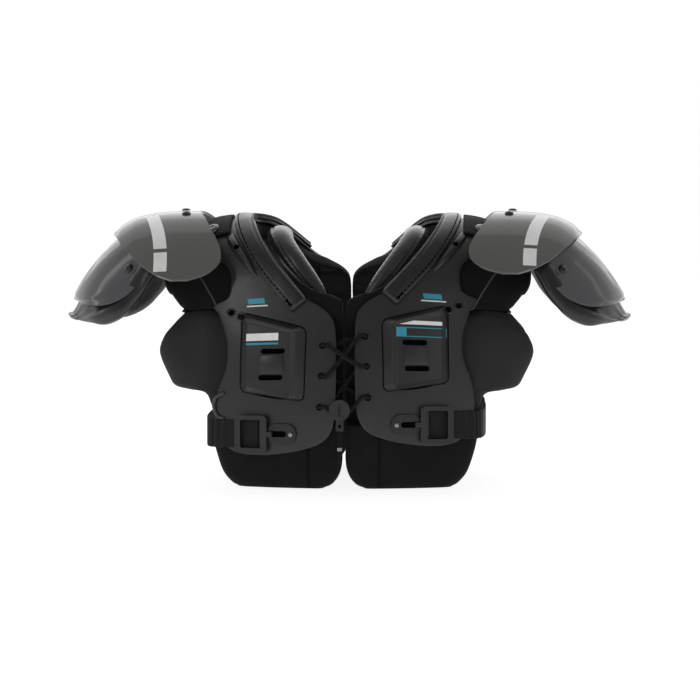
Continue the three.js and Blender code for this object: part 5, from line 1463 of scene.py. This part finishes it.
def add_laces():
    for is_back in (False, True):
        where = "back" if is_back else "front"
        line = evenly(through(lace_line(is_back), 8), 0.9)
        parts = [add_tube("lace", line, LACE_DIAMETER / 2, 12, braid)]
        if is_back:
            knot_place = lock_place(True, PLATE_WALL / 2 + SEAT_GAP + LOCK_THICKNESS / 2)
            turns = np.linspace(0, 4 * math.pi, 60)
            across = np.stack([np.cos(turns), 0.35 * np.sin(1.5 * turns), np.sin(turns)], axis=-1)
            knot = knot_place + KNOT_TURN_RADIUS * across
            parts.append(add_tube("knot", knot, LACE_DIAMETER / 2, 12, braid))
        lace = joined(f"dressed_lace_{where}", parts)
        dressed(lace, LACE_FINISH, "lace_cord", f"lace_{where}")


def add_tail():
    """Free end of the front lace, which hangs from the lock's tab with a crimp on it."""
    seat = seat_on_arch(-1, turn_of(LOCK_SPOT[0]), LOCK_SPOT[1] * BODY_HALF_WIDTH)
    off = PLATE_WALL / 2 + SEAT_GAP + TAIL_SEAT
    start = -(LOCK_TAB_DROP - 0.5)
    places = np.linspace(start - 1, start - 1 - TAIL_LENGTH, 39)
    line = seated(seat, np.stack([0 * places, places, 0 * places + off], axis=-1))
    tail = add_tube("dressed_lace_tail", line, TAIL_DIAMETER / 2)
    dressed(tail, LACE_FINISH, "lace_cord", "lace_tail")


def add_rivet(node, radius, surface, slot):
    """Smooth domed head in the place of a rivet's CAD node, with a dimple in its middle."""
    points = np.array([vertex.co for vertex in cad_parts[node].data.vertices])
    middle = (points.min(axis=0) + points.max(axis=0)) / 2
    spread = np.linalg.svd(points - points.mean(axis=0))[2]
    away = spread[2]
    along = (points - points.mean(axis=0)) @ away
    if abs(along.max()) < abs(along.min()):
        away = -away
    heights = (points - middle) @ away
    foot = middle + away * heights.min()
    right = unit(np.cross(away, spread[0]))
    up = np.cross(away, right)
    foot_points = points[heights < heights.min() + 1e-5]
    if len(foot_points) > 3:
        foot = (foot_points.min(axis=0) + foot_points.max(axis=0)) / 2
    sides = RIVET_SIDES
    verts = [
        foot + (right * math.cos(a) + up * math.sin(a)) * radius * r / 1000 + away * h * RIVET_HEIGHT / 1000
        for r, h in RIVET_PROFILE
        for a in (2 * math.pi * k / sides for k in range(sides))
    ]
    last = (len(RIVET_PROFILE) - 1) * sides
    faces = [
        (i + k, i + (k + 1) % sides, i + sides + (k + 1) % sides, i + sides + k)
        for i in range(0, last, sides)
        for k in range(sides)
    ]
    faces += [tuple(range(sides))[::-1], tuple(range(last, last + sides))]
    head = add_mesh(f"dressed_{node}", verts, faces, 50)
    dressed(head, surface, slot, node)


def add_rivets(side):
    name = side["name"]
    add_rivet(f"web_rivet_{name}", WEB_RIVET_RADIUS, STEEL_DARK_FINISH, "rivet_metal")
    for kind in ("epaulet_rivet_front", "epaulet_rivet_back", "cup_rivet", "strap_rivet"):
        add_rivet(f"{kind}_{name}", RIVET_RADIUS, FASTENER_FINISH, "black_plastic")
    add_rivet(f"hook_rivet_{name}", HOOK_RIVET_RADIUS, STEEL_FINISH, "rivet_metal")


def finish_cad_nodes():
    """The hard fastenings keep their CAD shape, with rounded edges and their own finish."""
    finishes = {
        "hook_plate_left": FASTENER_FINISH,
        "hook_plate_right": FASTENER_FINISH,
        "buckle_left": FASTENER_FINISH,
        "buckle_right": FASTENER_FINISH,
        "lace_lock": LOCK_FINISH,
        "lace_crimp": STEEL_FINISH,
    }
    for name, surface in finishes.items():
        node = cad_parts[name]
        for material_slot in node.material_slots:
            material_slot.link = "OBJECT"
            material_slot.material = surface.material
        bevel(node, FASTENING_ROUNDING, 2, 40)


def add_patch(name, side, corners, off, surface, slot):
    """Thin painted patch on the chest between (rise, out) corners: two at its top and two at its foot."""
    r, c = grid(6, 14)
    head = [mix(corners[0][i], corners[1][i], c) for i in (0, 1)]
    foot = [mix(corners[2][i], corners[3][i], c) for i in (0, 1)]
    rise, out = (mix(head[i], foot[i], r) for i in (0, 1))
    faces = (
        on_arch(side["sign"], turn_of(rise), out * BODY_HALF_WIDTH, np.full_like(out, off + paint))
        for paint in PAINT_OFF
    )
    return dressed(add_slab(name, *faces), surface, slot)


def add_marks():
    """Plain painted bars on the chest and on the panels."""
    left, right = SIDES
    chest = PLATE_WALL / 2
    panel = chest + PANEL_RELIEF

    def bar(name, side, low, high, near, far, off, surface, slant=0.0):
        corners = [(high, far - slant), (high, near - slant), (low, far), (low, near)]
        add_patch(name, side, corners, off, surface, "arch_plastic")

    bar("chest_bar_left", left, 0.697, 0.717, 0.56, 0.68, chest, TEAL_FINISH, -0.01)
    bar("chest_line_left", left, 0.686, 0.691, 0.543, 0.693, chest, WHITE_FINISH)
    bar("chest_bar_right", right, 0.716, 0.735, 0.56, 0.69, chest, TEAL_FINISH, 0.01)
    bar("chest_line_right", right, 0.706, 0.711, 0.54, 0.714, chest, WHITE_FINISH)
    bar("panel_bar_left", left, 0.553, 0.58, 0.45, 0.68, panel, WHITE_FINISH)
    bar("panel_line_left", left, 0.538, 0.545, 0.45, 0.68, panel, TEAL_FINISH)
    bar("panel_bar_right", right, 0.612, 0.626, 0.37, 0.69, panel, WHITE_FINISH)
    bar("label_block_right", right, 0.567, 0.602, 0.36, 0.43, panel, TEAL_FINISH)
    bar("label_top_right", right, 0.599, 0.602, 0.43, 0.7, panel, TEAL_FINISH)
    bar("label_foot_right", right, 0.567, 0.57, 0.43, 0.7, panel, TEAL_FINISH)
    bar("label_end_right", right, 0.567, 0.602, 0.694, 0.704, panel, TEAL_FINISH)


def add_stage():
    """Plain white floor that shines faintly and curves up far behind the pads into a backdrop."""
    angles = np.linspace(0, math.pi / 2, 16)
    bend = [(STAGE_BEND * math.sin(a), STAGE_BEND * (1 - math.cos(a))) for a in angles]
    curve = [(STAGE_BEND_AT + y, z) for y, z in bend]
    rows = [(STAGE_FRONT, 0.0), *curve, (STAGE_BEND_AT + STAGE_BEND, STAGE_TOP)]
    verts = [(x, y, z - STAGE_DROP) for y, z in rows for x in (-STAGE_HALF_WIDTH, STAGE_HALF_WIDTH)]
    faces = [(2 * i, 2 * i + 1, 2 * i + 3, 2 * i + 2) for i in range(len(rows) - 1)]
    floor = add_mesh("floor", verts, faces, ALL_SMOOTH)
    floor.data.materials.append(FLOOR_FINISH.material)


def add_light(name, place, aim_height, size, watts):
    lamp = bpy.data.lights.new(name, "AREA")
    lamp.shape = "RECTANGLE"
    lamp.size, lamp.size_y = size
    lamp.energy = watts
    light = bpy.data.objects.new(name, lamp)
    light.location = place
    view = Vector((0, 0, aim_height)) - Vector(place)
    light.rotation_euler = view.to_track_quat("-Z", "Y").to_euler()
    bpy.context.scene.collection.objects.link(light)


def add_lights():
    """Soft boxes above, behind and beside the pads, in a room that is bright behind them and dim in front."""
    for row in LIGHTS:
        add_light(*row)
    world = bpy.data.worlds.new("studio")
    world.use_nodes = True
    nodes, links = world.node_tree.nodes, world.node_tree.links
    split = nodes.new("ShaderNodeSeparateXYZ")
    links.new(nodes.new("ShaderNodeTexCoord").outputs["Generated"], split.inputs[0])
    shade = nodes.new("ShaderNodeMapRange")
    for name, value in ROOM_LIGHT.items():
        shade.inputs[name].default_value = value
    links.new(split.outputs["Y"], shade.inputs["Value"])
    links.new(shade.outputs["Result"], nodes["Background"].inputs["Strength"])
    nodes["Background"].inputs["Color"].default_value = (1, 1, 1, 1)
    bpy.context.scene.world = world


def add_camera():
    azimuth, elevation = math.radians(CAMERA_AZIMUTH), math.radians(CAMERA_ELEVATION)
    target = Vector(CAMERA_TARGET)
    away = Vector(
        (
            math.sin(azimuth) * math.cos(elevation),
            -math.cos(azimuth) * math.cos(elevation),
            math.sin(elevation),
        )
    )
    lens = bpy.data.cameras.new("camera")
    lens.lens = CAMERA_LENS
    lens.sensor_width = CAMERA_SENSOR
    camera = bpy.data.objects.new("camera", lens)
    camera.location = target + CAMERA_DISTANCE * away
    camera.rotation_euler = (-away).to_track_quat("-Z", "Y").to_euler()
    bpy.context.scene.collection.objects.link(camera)
    bpy.context.scene.camera = camera


add_camera()
add_tail()
add_laces()
for side in SIDES:
    add_plate(side)
    add_panel_vent_shade(side)
    add_slot_shade(side)
    add_liner(side)
    add_side_pad(side, False)
    add_side_pad(side, True)
    add_collar(side)
    add_neck_roll(side)
    add_epaulet(side)
    add_epaulet_mark(side)
    add_web(side)
    add_cup(side)
    add_cup_pad(side)
    add_strap(side)
    add_arm_piping(side)
    add_rivets(side)
finish_cad_nodes()
add_edge_loop()
add_marks()
add_stage()
add_lights()
bpy.context.scene.view_settings.view_transform = "Standard"
